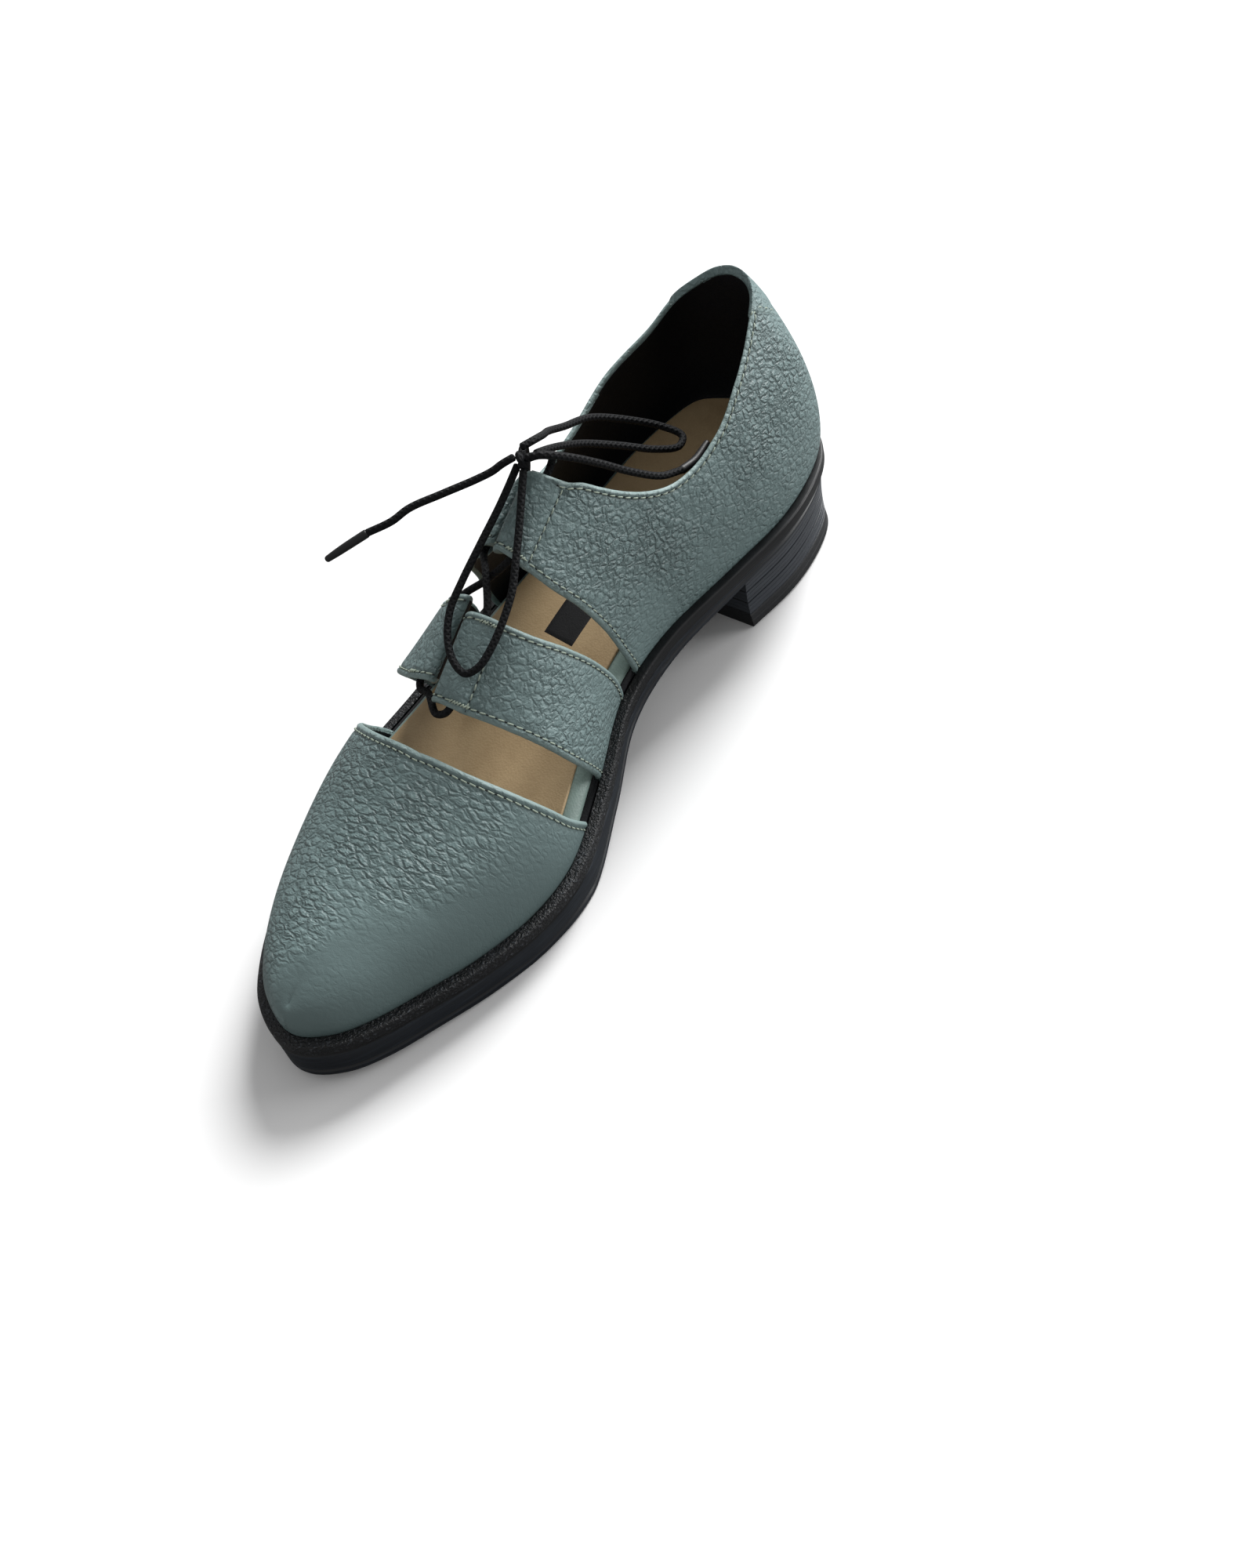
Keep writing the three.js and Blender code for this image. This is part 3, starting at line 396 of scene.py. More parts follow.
def joined(shells: Sequence[Shell]) -> Shell:
    """Several shells as one, with their marks and looks kept."""
    starts = np.cumsum([0] + [len(s.points) for s in shells[:-1]])
    names = sorted({n for s in shells for n in s.marks})
    return Shell(
        np.concatenate([s.points for s in shells]),
        np.concatenate([s.faces + start for s, start in zip(shells, starts)]),
        np.concatenate([s.looks if s.looks is not None else np.zeros(len(s.faces), int) for s in shells]),
        {n: np.concatenate([s.marks.get(n, np.full(len(s.points), 9.0)) for s in shells]) for n in names},
        np.concatenate([s.uv for s in shells]) if all(s.uv is not None for s in shells) else None)


def make_piece(name: str, shell: Shell, materials: Sequence[bpy.types.Material],
               sharp: float = 40.0) -> bpy.types.Object:
    """A closed mesh object at the origin with outward faces.

    Coincident points are merged, so folded and collapsed quads close the surface. The signed
    volume, the sum of a . (b x c) / 6 over its triangles, tells whether all faces are turned round.

    Args:
        name: Name of the piece.
        shell: Its points, faces and marks.
        materials: Materials in the order of the faces' looks.
        sharp: Angle in degrees above which an edge is drawn sharp.

    Returns:
        The linked object.
    """
    mesh = bpy.data.meshes.new(name)
    points, faces = metres(shell.points), shell.faces
    a, b, c, d = (points[faces[:, n]] for n in range(4))
    volume = (a * (np.cross(b, c) + np.cross(c, d))).sum()
    if volume < 0:
        faces = faces[:, ::-1]
    mesh.vertices.add(len(points))
    mesh.vertices.foreach_set("co", points.ravel())
    mesh.loops.add(faces.size)
    mesh.loops.foreach_set("vertex_index", faces.ravel())
    mesh.polygons.add(len(faces))
    mesh.polygons.foreach_set("loop_start", np.arange(0, faces.size, 4))
    mesh.polygons.foreach_set("use_smooth", np.ones(len(faces), bool))
    if shell.looks is not None:
        mesh.polygons.foreach_set("material_index", shell.looks)
    for mark, values in shell.marks.items():
        mesh.attributes.new(mark, "FLOAT", "POINT").data.foreach_set("value", values.astype(np.float32))
    if shell.uv is not None:
        layer = mesh.uv_layers.new(name="along")
        layer.uv.foreach_set("vector", shell.uv[faces.ravel()].astype(np.float32).ravel())
    for material in materials:
        mesh.materials.append(material)
    mesh.update(calc_edges=True)
    built = bmesh.new()
    built.from_mesh(mesh)
    bmesh.ops.remove_doubles(built, verts=built.verts, dist=2e-6)
    bmesh.ops.dissolve_degenerate(built, edges=built.edges, dist=1e-7)
    loose = [v for v in built.verts if not v.link_faces]
    bmesh.ops.delete(built, geom=loose, context="VERTS")
    built.to_mesh(mesh)
    built.free()
    mesh.set_sharp_from_angle(angle=math.radians(sharp))
    piece = bpy.data.objects.new(name, mesh)
    bpy.context.scene.collection.objects.link(piece)
    log.info("%s: %d faces", name, len(mesh.polygons))
    return piece


def seat(piece: bpy.types.Object, slot: str, *nodes: str) -> bpy.types.Object:
    """Let a piece ride on the shoe, and stand for the given nodes."""
    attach(piece, "root")
    if nodes:
        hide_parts(*nodes)
    return piece


def linear(code: str) -> tuple[float, float, float, float]:
    """Linear colour of an sRGB hex value: c / 12.92 below 0.04045, else ((c + 0.055) / 1.055)^2.4."""
    values = [int(code[n:n + 2], 16) / 255 for n in (1, 3, 5)]
    return tuple(c / 12.92 if c <= 0.04045 else ((c + 0.055) / 1.055) ** 2.4 for c in values) + (1.0,)


def add_node(tree: bpy.types.NodeTree, kind: str, inputs: dict[str | int, Any] | None = None,
             **settings: Any) -> bpy.types.Node:
    """Add a node with its settings, and fill or link its inputs.

    Args:
        tree: The material's node tree.
        kind: The node's type name after "ShaderNode".
        inputs: Values, or sockets to link from, by the input's name or number.
        **settings: Properties of the node itself.

    Returns:
        The node.
    """
    made = tree.nodes.new("ShaderNode" + kind)
    for name, value in settings.items():
        setattr(made, name, value)
    for key, value in (inputs or {}).items():
        if isinstance(value, bpy.types.NodeSocket):
            tree.links.new(value, made.inputs[key])
        else:
            made.inputs[key].default_value = value
    return made


def new_material(name: str) -> tuple[bpy.types.Material, bpy.types.NodeTree]:
    """An empty node material and its tree."""
    material = bpy.data.materials.new(name)
    material.use_nodes = True
    material.node_tree.nodes.clear()
    return material, material.node_tree


def close_material(tree: bpy.types.NodeTree, inputs: dict[str, Any]) -> None:
    """Add the surface shader with its inputs and the output."""
    shader = add_node(tree, "BsdfPrincipled", inputs)
    add_node(tree, "OutputMaterial", {"Surface": shader.outputs[0]})


def object_place(tree: bpy.types.NodeTree) -> bpy.types.NodeSocket:
    """Places on the object itself, in metres."""
    return add_node(tree, "TexCoord").outputs["Object"]


def mesh_value(tree: bpy.types.NodeTree, name: str) -> bpy.types.NodeSocket:
    """A number that the mesh carries at its points."""
    return add_node(tree, "Attribute", attribute_name=name).outputs["Fac"]


def noise(tree: bpy.types.NodeTree, place: bpy.types.NodeSocket, scale: float, detail: float,
          **inputs: float) -> bpy.types.NodeSocket:
    """Soft noise from 0 to 1."""
    made = add_node(tree, "TexNoise", {"Vector": place, "Scale": scale, "Detail": detail, **inputs})
    return made.outputs["Fac"]


def remap(tree: bpy.types.NodeTree, value: Any, source: tuple[float, float], target: tuple[float, float],
          **settings: Any) -> bpy.types.NodeSocket:
    """A value carried from one range to another and held at its ends."""
    inputs = {"Value": value, "From Min": source[0], "From Max": source[1],
              "To Min": target[0], "To Max": target[1]}
    return add_node(tree, "MapRange", inputs, **settings).outputs[0]


def maths(tree: bpy.types.NodeTree, operation: str, *values: Any) -> bpy.types.NodeSocket:
    """The result of an operation on up to three values."""
    return add_node(tree, "Math", dict(enumerate(values)), operation=operation).outputs[0]


def tint(tree: bpy.types.NodeTree, share: Any, low: Any, high: Any) -> bpy.types.NodeSocket:
    """Colour at a share of the way between two others."""
    return add_node(tree, "Mix", {0: share, 6: low, 7: high}, data_type="RGBA").outputs[2]


def dim(tree: bpy.types.NodeTree, colour: Any, factor: Any) -> bpy.types.NodeSocket:
    """A colour times a factor."""
    return add_node(tree, "VectorMath", {0: colour, "Scale": factor}, operation="SCALE").outputs[0]


def raised(tree: bpy.types.NodeTree, height: Any, height_mm: float) -> bpy.types.NodeSocket:
    """Normal of a surface whose relief is so many millimetres at height 1."""
    bumped = add_node(tree, "Bump", {"Height": height, "Strength": 1.0, "Distance": height_mm / 1000})
    return bumped.outputs[0]


@dataclass(frozen=True)
class PebbledLeather:
    """Cowhide drummed until its grain stands up in pebbles, then pigmented: soft uneven sheen."""

    name: str
    colour: str = "#6e8282"
    # Colour of the painted shade: hollows between pebbles, stitch rows and places of low grain.
    painted_shade: str = "#394848"
    # Colour of the painted highlight on the pebbles' tops, also used for the pale rim along the edges.
    edge: str = "#8fa3a0"
    pebble_mm: float = 2.6
    stretch: tuple[float, float, float] = (0.9, 1.0, 1.25)
    height_mm: float = 0.58
    fine_share: float = 0.28
    roughness: float = 0.43
    warp_mm: float = 1.7

    def pebbles(self, tree: bpy.types.NodeTree,
                place: bpy.types.NodeSocket) -> tuple[bpy.types.NodeSocket, bpy.types.NodeSocket]:
        """Domes on the cells of a warped pattern, each of its own height, and finer grains."""
        warp = add_node(tree, "TexNoise", {"Vector": place, "Scale": 420.0, "Detail": 2.0})
        reach = (self.warp_mm / 1000,) * 3
        warped = add_node(tree, "VectorMath", {0: warp.outputs["Color"], 1: reach, 2: place},
                          operation="MULTIPLY_ADD")
        scale = tuple(1000 / self.pebble_mm * n for n in self.stretch)
        spread = add_node(tree, "Mapping", {"Vector": warped.outputs[0], "Scale": scale}).outputs[0]
        crowns = []
        for size, slope in ((1.0, 0.28), (2.3, 0.35)):
            cells = add_node(tree, "TexVoronoi", {"Vector": spread, "Scale": size},
                             feature="DISTANCE_TO_EDGE")
            crowns.append(remap(tree, cells.outputs["Distance"], (0.0, slope), (0.0, 1.0),
                                interpolation_type="SMOOTHSTEP"))
        each = add_node(tree, "TexVoronoi", {"Vector": spread, "Scale": 1.0})
        tall = remap(tree, each.outputs["Color"], (0.0, 1.0), (0.65, 1.2))
        return maths(tree, "MULTIPLY", crowns[0], tall), crowns[1]

    def build(self) -> bpy.types.Material:
        """Pebbles over a soft swell with pores; painted shade in their hollows, along the stitch rows and
        where the grain lies low; a painted highlight on their tops; a pale rim along the edges, partly
        painted highlight.
        """
        material, tree = new_material(self.name)
        place = object_place(tree)
        colour, painted_shade, edge = (linear(code) for code in (self.colour, self.painted_shade, self.edge))
        grain = mesh_value(tree, "grain")
        domes, fine = self.pebbles(tree, place)
        uneven = remap(tree, noise(tree, place, 62.0, 2.0), (0.36, 0.62), (0.45, 1.0))
        relief = maths(tree, "MULTIPLY", uneven, grain)
        high = maths(tree, "MULTIPLY_ADD", fine, self.fine_share, domes)
        swollen = maths(tree, "MULTIPLY_ADD", noise(tree, place, 230.0, 1.0), 1.3, high)
        strong = maths(tree, "MULTIPLY", swollen, relief)
        total = maths(tree, "MULTIPLY_ADD", noise(tree, place, 3200.0, 3.0), 0.1, strong)

        # Painted shade: the hollows between the pebbles darken towards the shade colour.
        deep = maths(tree, "MULTIPLY", remap(tree, domes, (0.0, 0.5), (0.45, 0.0)), relief)
        tone = tint(tree, deep, colour, painted_shade)
        # Painted highlight: the tallest pebble tops lighten towards the pale colour.
        tone = tint(tree, remap(tree, strong, (1.5, 2.1), (0.0, 0.3)), tone, edge)
        # Painted shade: where the grain lies low, over the toe, the vamp's medial side and along the cut
        # edges, the colour darkens.
        tone = tint(tree, remap(tree, grain, (0.0, 0.5), (0.36, 0.0)), tone, painted_shade)
        tone = dim(tree, tone, remap(tree, noise(tree, place, 24.0, 3.0), (0.3, 0.7), (0.93, 1.07)))
        # Pale rim along the cut and folded edges: partly leather drawn over the edge, partly a painted
        # highlight on its rounded lip.
        tone = tint(tree, remap(tree, mesh_value(tree, "edge_mm"), (0.3, 1.7), (0.55, 0.0)), tone, edge)
        # Painted shade along the rows of stitches, where the leather dips.
        tone = tint(tree, remap(tree, mesh_value(tree, "seam_mm"), (0.2, 0.9), (0.4, 0.0)), tone, painted_shade)
        gloss = remap(tree, total, (0.0, 2.0), (self.roughness + 0.14, self.roughness - 0.04))
        close_material(tree, {"Base Color": tone, "Roughness": gloss,
                              "Normal": raised(tree, total, self.height_mm), "Specular IOR Level": 0.45,
                              "Coat Weight": 0.12, "Coat Roughness": 0.35})
        return material


@dataclass(frozen=True)
class SmoothLeather:
    """Split or lining leather with a fine printed grain: a quiet, nearly even surface."""

    name: str
    colour: str
    second: str
    grain_mm: float = 0.7
    height_mm: float = 0.05
    roughness: float = 0.55
    stain: float = 0.5

    def build(self) -> bpy.types.Material:
        """Fine cells for the grain, and a wide cloud that shifts the tone for wear and stains."""
        material, tree = new_material(self.name)
        place = object_place(tree)
        cells = add_node(tree, "TexVoronoi", {"Vector": place, "Scale": 1000 / self.grain_mm})
        total = maths(tree, "MULTIPLY_ADD", noise(tree, place, 1500.0, 4.0), 0.6, cells.outputs["Distance"])
        cloud = noise(tree, place, 38.0, 5.0, Roughness=0.6)
        wear = remap(tree, cloud, (0.42, 0.72), (0.0, self.stain))
        tone = tint(tree, wear, linear(self.colour), linear(self.second))
        gloss = remap(tree, cloud, (0.3, 0.7), (self.roughness - 0.06, self.roughness + 0.08))
        close_material(tree, {"Base Color": tone, "Roughness": gloss,
                              "Normal": raised(tree, total, self.height_mm), "Specular IOR Level": 0.4})
        return material


@dataclass(frozen=True)
class DyedEdge:
    """Rubberised sole edge, ground, dyed black and burnished: fine long scratches, soft shine."""

    name: str
    colour: str
    second: str
    # Colour of the painted highlight on the tops of the welt's pits.
    pit_highlight: str = "#565b62"
    # Colour of the painted shade in the grooves.
    groove: str = "#040507"
    roughness: float = 0.42
    streak_mm: float = 0.5
    pit_mm: float = 0.9
    pits: float = 0.0
    pits_from: float = 0.0

    def build(self) -> bpy.types.Material:
        """Streaks are noise drawn out along the shoe, and pits are noise ahead of a place in x."""
        material, tree = new_material(self.name)
        place = object_place(tree)
        drawn = add_node(tree, "Mapping", {"Vector": place, "Scale": (70.0, 70.0, 1000 / self.streak_mm)})
        streaks = noise(tree, drawn.outputs[0], 1.0, 4.0)
        ahead = add_node(tree, "SeparateXYZ", {0: place}).outputs["X"]
        mask = remap(tree, ahead, (self.pits_from - 0.012, self.pits_from + 0.012), (0.0, self.pits))
        pitted = maths(tree, "MULTIPLY", noise(tree, place, 1000 / self.pit_mm, 3.0), mask)
        total = maths(tree, "MULTIPLY_ADD", streaks, 0.5, pitted)
        wear_and_sheen = remap(tree, streaks, (0.48, 0.75), (0.0, 0.8))
        tone = tint(tree, wear_and_sheen, linear(self.colour), linear(self.second))
        rough = max(self.pits, 0.1)
        # Painted highlight: the tops of the pits lighten towards the highlight colour.
        caught = remap(tree, pitted, (0.56 * rough, 0.72 * rough), (0.0, 0.6))
        tone = tint(tree, caught, tone, linear(self.pit_highlight))
        # Painted shade in the grooves, as dark as the groove is deep.
        tone = tint(tree, mesh_value(tree, "groove"), tone, linear(self.groove))
        gloss = remap(tree, streaks, (0.3, 0.7), (self.roughness - 0.08, self.roughness + 0.12))
        close_material(tree, {"Base Color": tone, "Roughness": gloss, "Normal": raised(tree, total, 0.14),
                              "Specular IOR Level": 0.45})
        return material


@dataclass(frozen=True)
class TreadRubber:
    """Moulded rubber of the wearing faces: matt, with a lattice of shallow grooves."""

    name: str = "moulded_tread_rubber"
    colour: str = "#131416"
    dusty: str = "#26282b"
    pitch_mm: float = 3.2

    def build(self) -> bpy.types.Material:
        """Two crossed waves stand for the moulded grooves, and noise for the floor's wear."""
        material, tree = new_material(self.name)
        place = object_place(tree)
        scale = 50 * math.pi / 8 / self.pitch_mm
        bands = []
        for turn in (0.6, -0.6):
            turned = add_node(tree, "Mapping", {"Vector": place, "Rotation": (0.0, 0.0, turn)})
            wave = add_node(tree, "TexWave", {"Vector": turned.outputs[0], "Scale": scale},
                            wave_type="BANDS", bands_direction="X")
            bands.append(wave.outputs["Fac"])
        dust = noise(tree, place, 900.0, 4.0)
        total = maths(tree, "MULTIPLY_ADD", dust, 0.3, maths(tree, "MAXIMUM", *bands))
        tone = tint(tree, dust, linear(self.colour), linear(self.dusty))
        close_material(tree, {"Base Color": tone, "Roughness": 0.72, "Normal": raised(tree, total, 0.3)})
        return material


@dataclass(frozen=True)
class WaxedCord:
    """Braided cotton lace, waxed: dark with a dull shine on the strands' crowns."""

    name: str = "waxed_braided_cotton"
    colour: str = "#050608"
    crown: str = "#14161a"
    strand_mm: float = 0.9
    strands_round: float = 4.0

    def build(self) -> bpy.types.Material:
        """Two families of slanting waves over length and angle, the higher one on top."""
        material, tree = new_material(self.name)
        run = add_node(tree, "UVMap", uv_map="along")
        split = add_node(tree, "SeparateXYZ", {0: run.outputs[0]})
        strands = []
        for slant in (self.strands_round, -self.strands_round):
            round_way = maths(tree, "MULTIPLY", split.outputs["Y"], slant)
            phase = maths(tree, "MULTIPLY_ADD", split.outputs["X"], 1 / (2 * self.strand_mm), round_way)
            strands.append(maths(tree, "SINE", maths(tree, "MULTIPLY", phase, 2 * math.pi)))
        wax = noise(tree, object_place(tree), 700.0, 3.0)
        total = maths(tree, "MULTIPLY_ADD", wax, 0.8, maths(tree, "MAXIMUM", *strands))
        # Painted highlight: the tops of the braid's strands lighten towards the crown colour.
        wear_and_sheen = remap(tree, total, (0.6, 1.5), (0.0, 0.7))
        tone = tint(tree, wear_and_sheen, linear(self.colour), linear(self.crown))
        close_material(tree, {"Base Color": tone, "Roughness": 0.66, "Normal": raised(tree, total, 0.12),
                              "Specular IOR Level": 0.2})
        return material


@dataclass(frozen=True)
class PlainFinish:
    """A small even finish with a fine noise in its height, for thread, needle holes and lace tips."""

    name: str
    colour: str
    roughness: float
    grain_mm: float = 0.3
    height_mm: float = 0.03

    def build(self) -> bpy.types.Material:
        """Noise at the grain's size gives the height and shifts the tone a little."""
        material, tree = new_material(self.name)
        grain = noise(tree, object_place(tree), 1000 / self.grain_mm, 2.0)
        tone = dim(tree, linear(self.colour)[:3], remap(tree, grain, (0.0, 1.0), (0.88, 1.12)))
        close_material(tree, {"Base Color": tone, "Roughness": self.roughness,
                              "Normal": raised(tree, grain, self.height_mm)})
        return material


# Leather of the quarters and straps: coarse round pebbles.
SAGE_PEBBLED = PebbledLeather("sage_drummed_cowhide")
# Leather of the vamp: the same hide lasted tight, so its pebbles lie flat and drawn across.
SAGE_LASTED = PebbledLeather("sage_lasted_cowhide", pebble_mm=2.8, stretch=(1.4, 0.66, 0.9),
                             height_mm=0.6, roughness=0.4, warp_mm=1.5)
# Wrap of the footbed: the same hide, skived thin and nearly smooth. Its tone is lighter than the upper's: a
# painted highlight for the light along the wrap's rounded rim.
SAGE_WRAP = SmoothLeather("sage_skived_cowhide", "#82968f", "#6c807a", roughness=0.5)
BLACK_LINING = SmoothLeather("black_lining_pigskin", "#0a0b10", "#14151b", roughness=0.65)
TAN_SOCK = SmoothLeather("tan_vegetable_calf", "#bba27c", "#8f7552", roughness=0.5, stain=0.6)
BLACK_LABEL = SmoothLeather("black_woven_satin", "#030407", "#0a0b0e", grain_mm=0.4, roughness=0.7)
BLACK_WELT = DyedEdge("black_moulded_welt", "#07090c", "#14181d", roughness=0.42, pit_mm=0.8, pits=6.0,
                      pits_from=0.085)
BLACK_SOLE_EDGE = DyedEdge("black_burnished_sole_edge", "#12181f", "#283039", roughness=0.36)
BLACK_LIFTS = DyedEdge("black_stacked_leather_lifts", "#3a3e44", "#4b5057", roughness=0.42, streak_mm=0.7)
TREAD = TreadRubber()
LACE = WaxedCord()
AGLET = PlainFinish("black_hardened_lace_tip", "#0d0e10", 0.5, 0.5, 0.05)
THREAD = PlainFinish("pale_sage_polyester_thread", "#9fab9c", 0.6, 0.12, 0.05)
# Colour of the painted shade inside the needle holes.
NEEDLE_HOLE = PlainFinish("shadow_of_needle_holes", "#1b211f", 0.9)


@dataclass
class Studio:
    """Camera at the photograph's angle, a plain pale floor and soft light from the upper left."""

    centre: tuple[float, float, float] = (0.3435826, 0.3190305, 0.4653341)
    right: tuple[float, float, float] = (-0.56959123, 0.79669973, -0.20207763)
    down: tuple[float, float, float] = (0.71579027, 0.35996914, -0.59838659)
    ahead: tuple[float, float, float] = (-0.40399272, -0.48548096, -0.77530518)
    focal_mm: float = 44.758
    aim: tuple[float, float, float] = (0.09, 0.0, 0.04)

    def camera(self) -> None:
        """A camera whose axes are the photograph's right, up and back directions."""
        data = bpy.data.cameras.new("photo_camera")
        data.sensor_fit = "AUTO"
        data.sensor_width = 36.0
        data.lens = self.focal_mm
        data.clip_start, data.clip_end = 0.02, 50.0
        camera = bpy.data.objects.new("photo_camera", data)
        axes = np.array([self.right, -np.array(self.down), -np.array(self.ahead)]).T
        turn = np.eye(4)
        turn[:3, :3] = axes
        turn[:3, 3] = self.centre
        camera.matrix_world = Matrix(turn.tolist())
        bpy.context.scene.collection.objects.link(camera)
        bpy.context.scene.camera = camera

    def lamp(self, name: str, way: tuple[float, float, float], size: float, power: float,
             reach: float = 1.1) -> None:
        """A square soft light that looks at the shoe from a direction."""
        data = bpy.data.lights.new(name, "AREA")
        data.size, data.energy = size, power
        lamp = bpy.data.objects.new(name, data)
        place = Vector(self.aim) + Vector(way).normalized() * reach
        turn = (Vector(self.aim) - place).to_track_quat("-Z", "Y")
        lamp.matrix_world = Matrix.Translation(place) @ turn.to_matrix().to_4x4()
        bpy.context.scene.collection.objects.link(lamp)

    def window(self, way: tuple[float, float, float], strength: float, spread: float) -> None:
        """A wide even light from one direction, like a tall window's."""
        data = bpy.data.lights.new("window", "SUN")
        data.energy, data.angle = strength, math.radians(spread)
        lamp = bpy.data.objects.new("window", data)
        lamp.matrix_world = (-Vector(way)).to_track_quat("-Z", "Y").to_matrix().to_4x4()
        bpy.context.scene.collection.objects.link(lamp)

    @staticmethod
    def board() -> bpy.types.Material:
        """Floor board: white to the eye, but a grey one in the light that it sends back up."""
        material, tree = new_material("pale_painted_board")
        rays = add_node(tree, "LightPath")
        tone = tint(tree, rays.outputs["Is Camera Ray"], linear("#7a7a7a"), linear("#f6f6f6"))
        close_material(tree, {"Base Color": tone, "Roughness": 0.8})
        return material

    def build(self) -> None:
        """Lights, world and floor."""
        self.window((-0.84, -0.10, 0.62), 4.3, 26.0)
        self.lamp("medial_softbox", (-0.84, 0.66, 0.22), 1.2, 31.0, 2.3)
        world = bpy.data.worlds.new("white_room")
        world.use_nodes = True
        tree = world.node_tree
        tree.nodes.clear()
        rays = add_node(tree, "LightPath")
        seen = remap(tree, rays.outputs["Is Camera Ray"], (0.0, 1.0), (0.40, 1.02))
        room = add_node(tree, "Background", {"Color": (1.0, 1.0, 1.0, 1.0), "Strength": seen})
        add_node(tree, "OutputWorld", {"Surface": room.outputs[0]})
        bpy.context.scene.world = world
        bpy.context.scene.view_settings.view_transform = "Standard"
        side = 6.0
        ends = np.array([[-side, -side, 0], [side, -side, 0], [side, side, 0], [-side, side, 0]])
        mesh = bpy.data.meshes.new("floor")
        mesh.from_pydata(ends.tolist(), [], [(0, 1, 2, 3)])
        mesh.materials.append(self.board())
        floor = bpy.data.objects.new("floor", mesh)
        bpy.context.scene.collection.objects.link(floor)


def run_along(line: Array) -> Array:
    """Length along a polyline up to each of its points."""
    return np.concatenate([[0], np.cumsum(np.linalg.norm(np.diff(line, axis=0), axis=1))])


def sample(values: Array, run: Array, at: Array) -> Array:
    """Values at given lengths along a run."""
    return np.stack([np.interp(at, run, values[:, n]) for n in range(3)], 1)


def densely(line: Array, spacing: float = 0.12, least: int = 2) -> Array:
    """A polyline resampled at an even spacing."""
    run = run_along(line)
    return sample(line, run, np.linspace(0, run[-1], max(least, int(run[-1] / spacing))))


def cord_path(points: Sequence[Sequence[float]], spacing: float = 0.5) -> Array:
    """Centripetal Catmull-Rom curve through points, at an even spacing.

    Knots stand at the running sum of the square roots of the distances; each span is the pyramid of
    linear mixes of its four points over those knots, and the ends are mirrored outwards.

    Args:
        points: Points that the curve passes.
        spacing: Millimetres between two samples.

    Returns:
        Samples from the first point to the last.
    """
    p = np.asarray(points, float)
    p = np.vstack([2 * p[0] - p[1], p, 2 * p[-1] - p[-2]])
    knots = np.concatenate([[0], np.cumsum(np.sqrt(np.linalg.norm(np.diff(p, axis=0), axis=1)))])
    pieces = []
    for k in range(len(p) - 3):
        t = np.linspace(knots[k + 1], knots[k + 2], 24, endpoint=False)[:, None]
        s = knots[k:k + 4]
        low, high = (mix_span(p[k:k + 4], s, t, first) for first in (0, 1))
        pieces.append(mix(low, high, (t - s[1]) / (s[2] - s[1])))
    return densely(np.vstack([*pieces, p[-2]]), spacing, 8)


def mix_span(p: Array, s: Array, t: Array, first: int) -> Array:
    """Second level of the Catmull-Rom pyramid over three of its four points."""
    low = mix(p[first], p[first + 1], (t - s[first]) / (s[first + 1] - s[first]))
    high = mix(p[first + 1], p[first + 2], (t - s[first + 1]) / (s[first + 2] - s[first + 1]))
    return mix(low, high, (t - s[first]) / (s[first + 2] - s[first]))


def tube(path: Array, diameter: float, around: int = 14, taper: Array | None = None) -> Shell:
    """A round tube with closed ends along a path.

    The frame is carried along by removing from the last side vector its share along the new
    tangent. The ends close in a quarter circle. The UV holds the length in millimetres and the
    share of a turn.

    Args:
        path: Samples of the middle line in millimetres.
        diameter: Diameter of the tube.
        around: Points in a ring.
        taper: Factors on the radius along the path.

    Returns:
        The closed shell.
    """
    tangent = unit(np.gradient(path, axis=0))
    side = np.empty_like(tangent)
    start = np.cross(tangent[0], [0.0, 0.0, 1.0])
    side[0] = unit(start if np.linalg.norm(start) > 0.1 else np.cross(tangent[0], [1.0, 0.0, 0.0]))
    for k in range(1, len(path)):
        side[k] = unit(side[k - 1] - tangent[k] * np.dot(side[k - 1], tangent[k]))
    up = np.cross(tangent, side)
    radius = np.full(len(path), diameter / 2) * (taper if taper is not None else 1.0)
    close = np.array([1.0, 0.85, 0.5, 0.0])
    first = [(0, -math.cos(math.asin(c)) * 0.25 * diameter, c) for c in close[::-1]]
    last = [(-1, math.cos(math.asin(c)) * 0.25 * diameter, c) for c in close]
    centres = np.vstack([*(path[k] + tangent[k] * d for k, d, _ in first), path,
                         *(path[k] + tangent[k] * d for k, d, _ in last)])
    radii = np.concatenate([radius[0] * close[::-1], radius, radius[-1] * close])
    sides, ups = (np.vstack([np.repeat(way[:1], len(close), 0), way, np.repeat(way[-1:], len(close), 0)])
                  for way in (side, up))
    angle = np.linspace(0, 2 * math.pi, around + 1)
    rings = (centres[:, None] + radii[:, None, None] * (np.cos(angle)[None, :, None] * sides[:, None]
                                                        + np.sin(angle)[None, :, None] * ups[:, None]))
    uv = np.stack(np.meshgrid(run_along(centres), angle / (2 * math.pi), indexing="ij"), -1).reshape(-1, 2)
    return Shell(rings.reshape(-1, 3), grid_faces(*rings.shape[:2]), uv=uv)


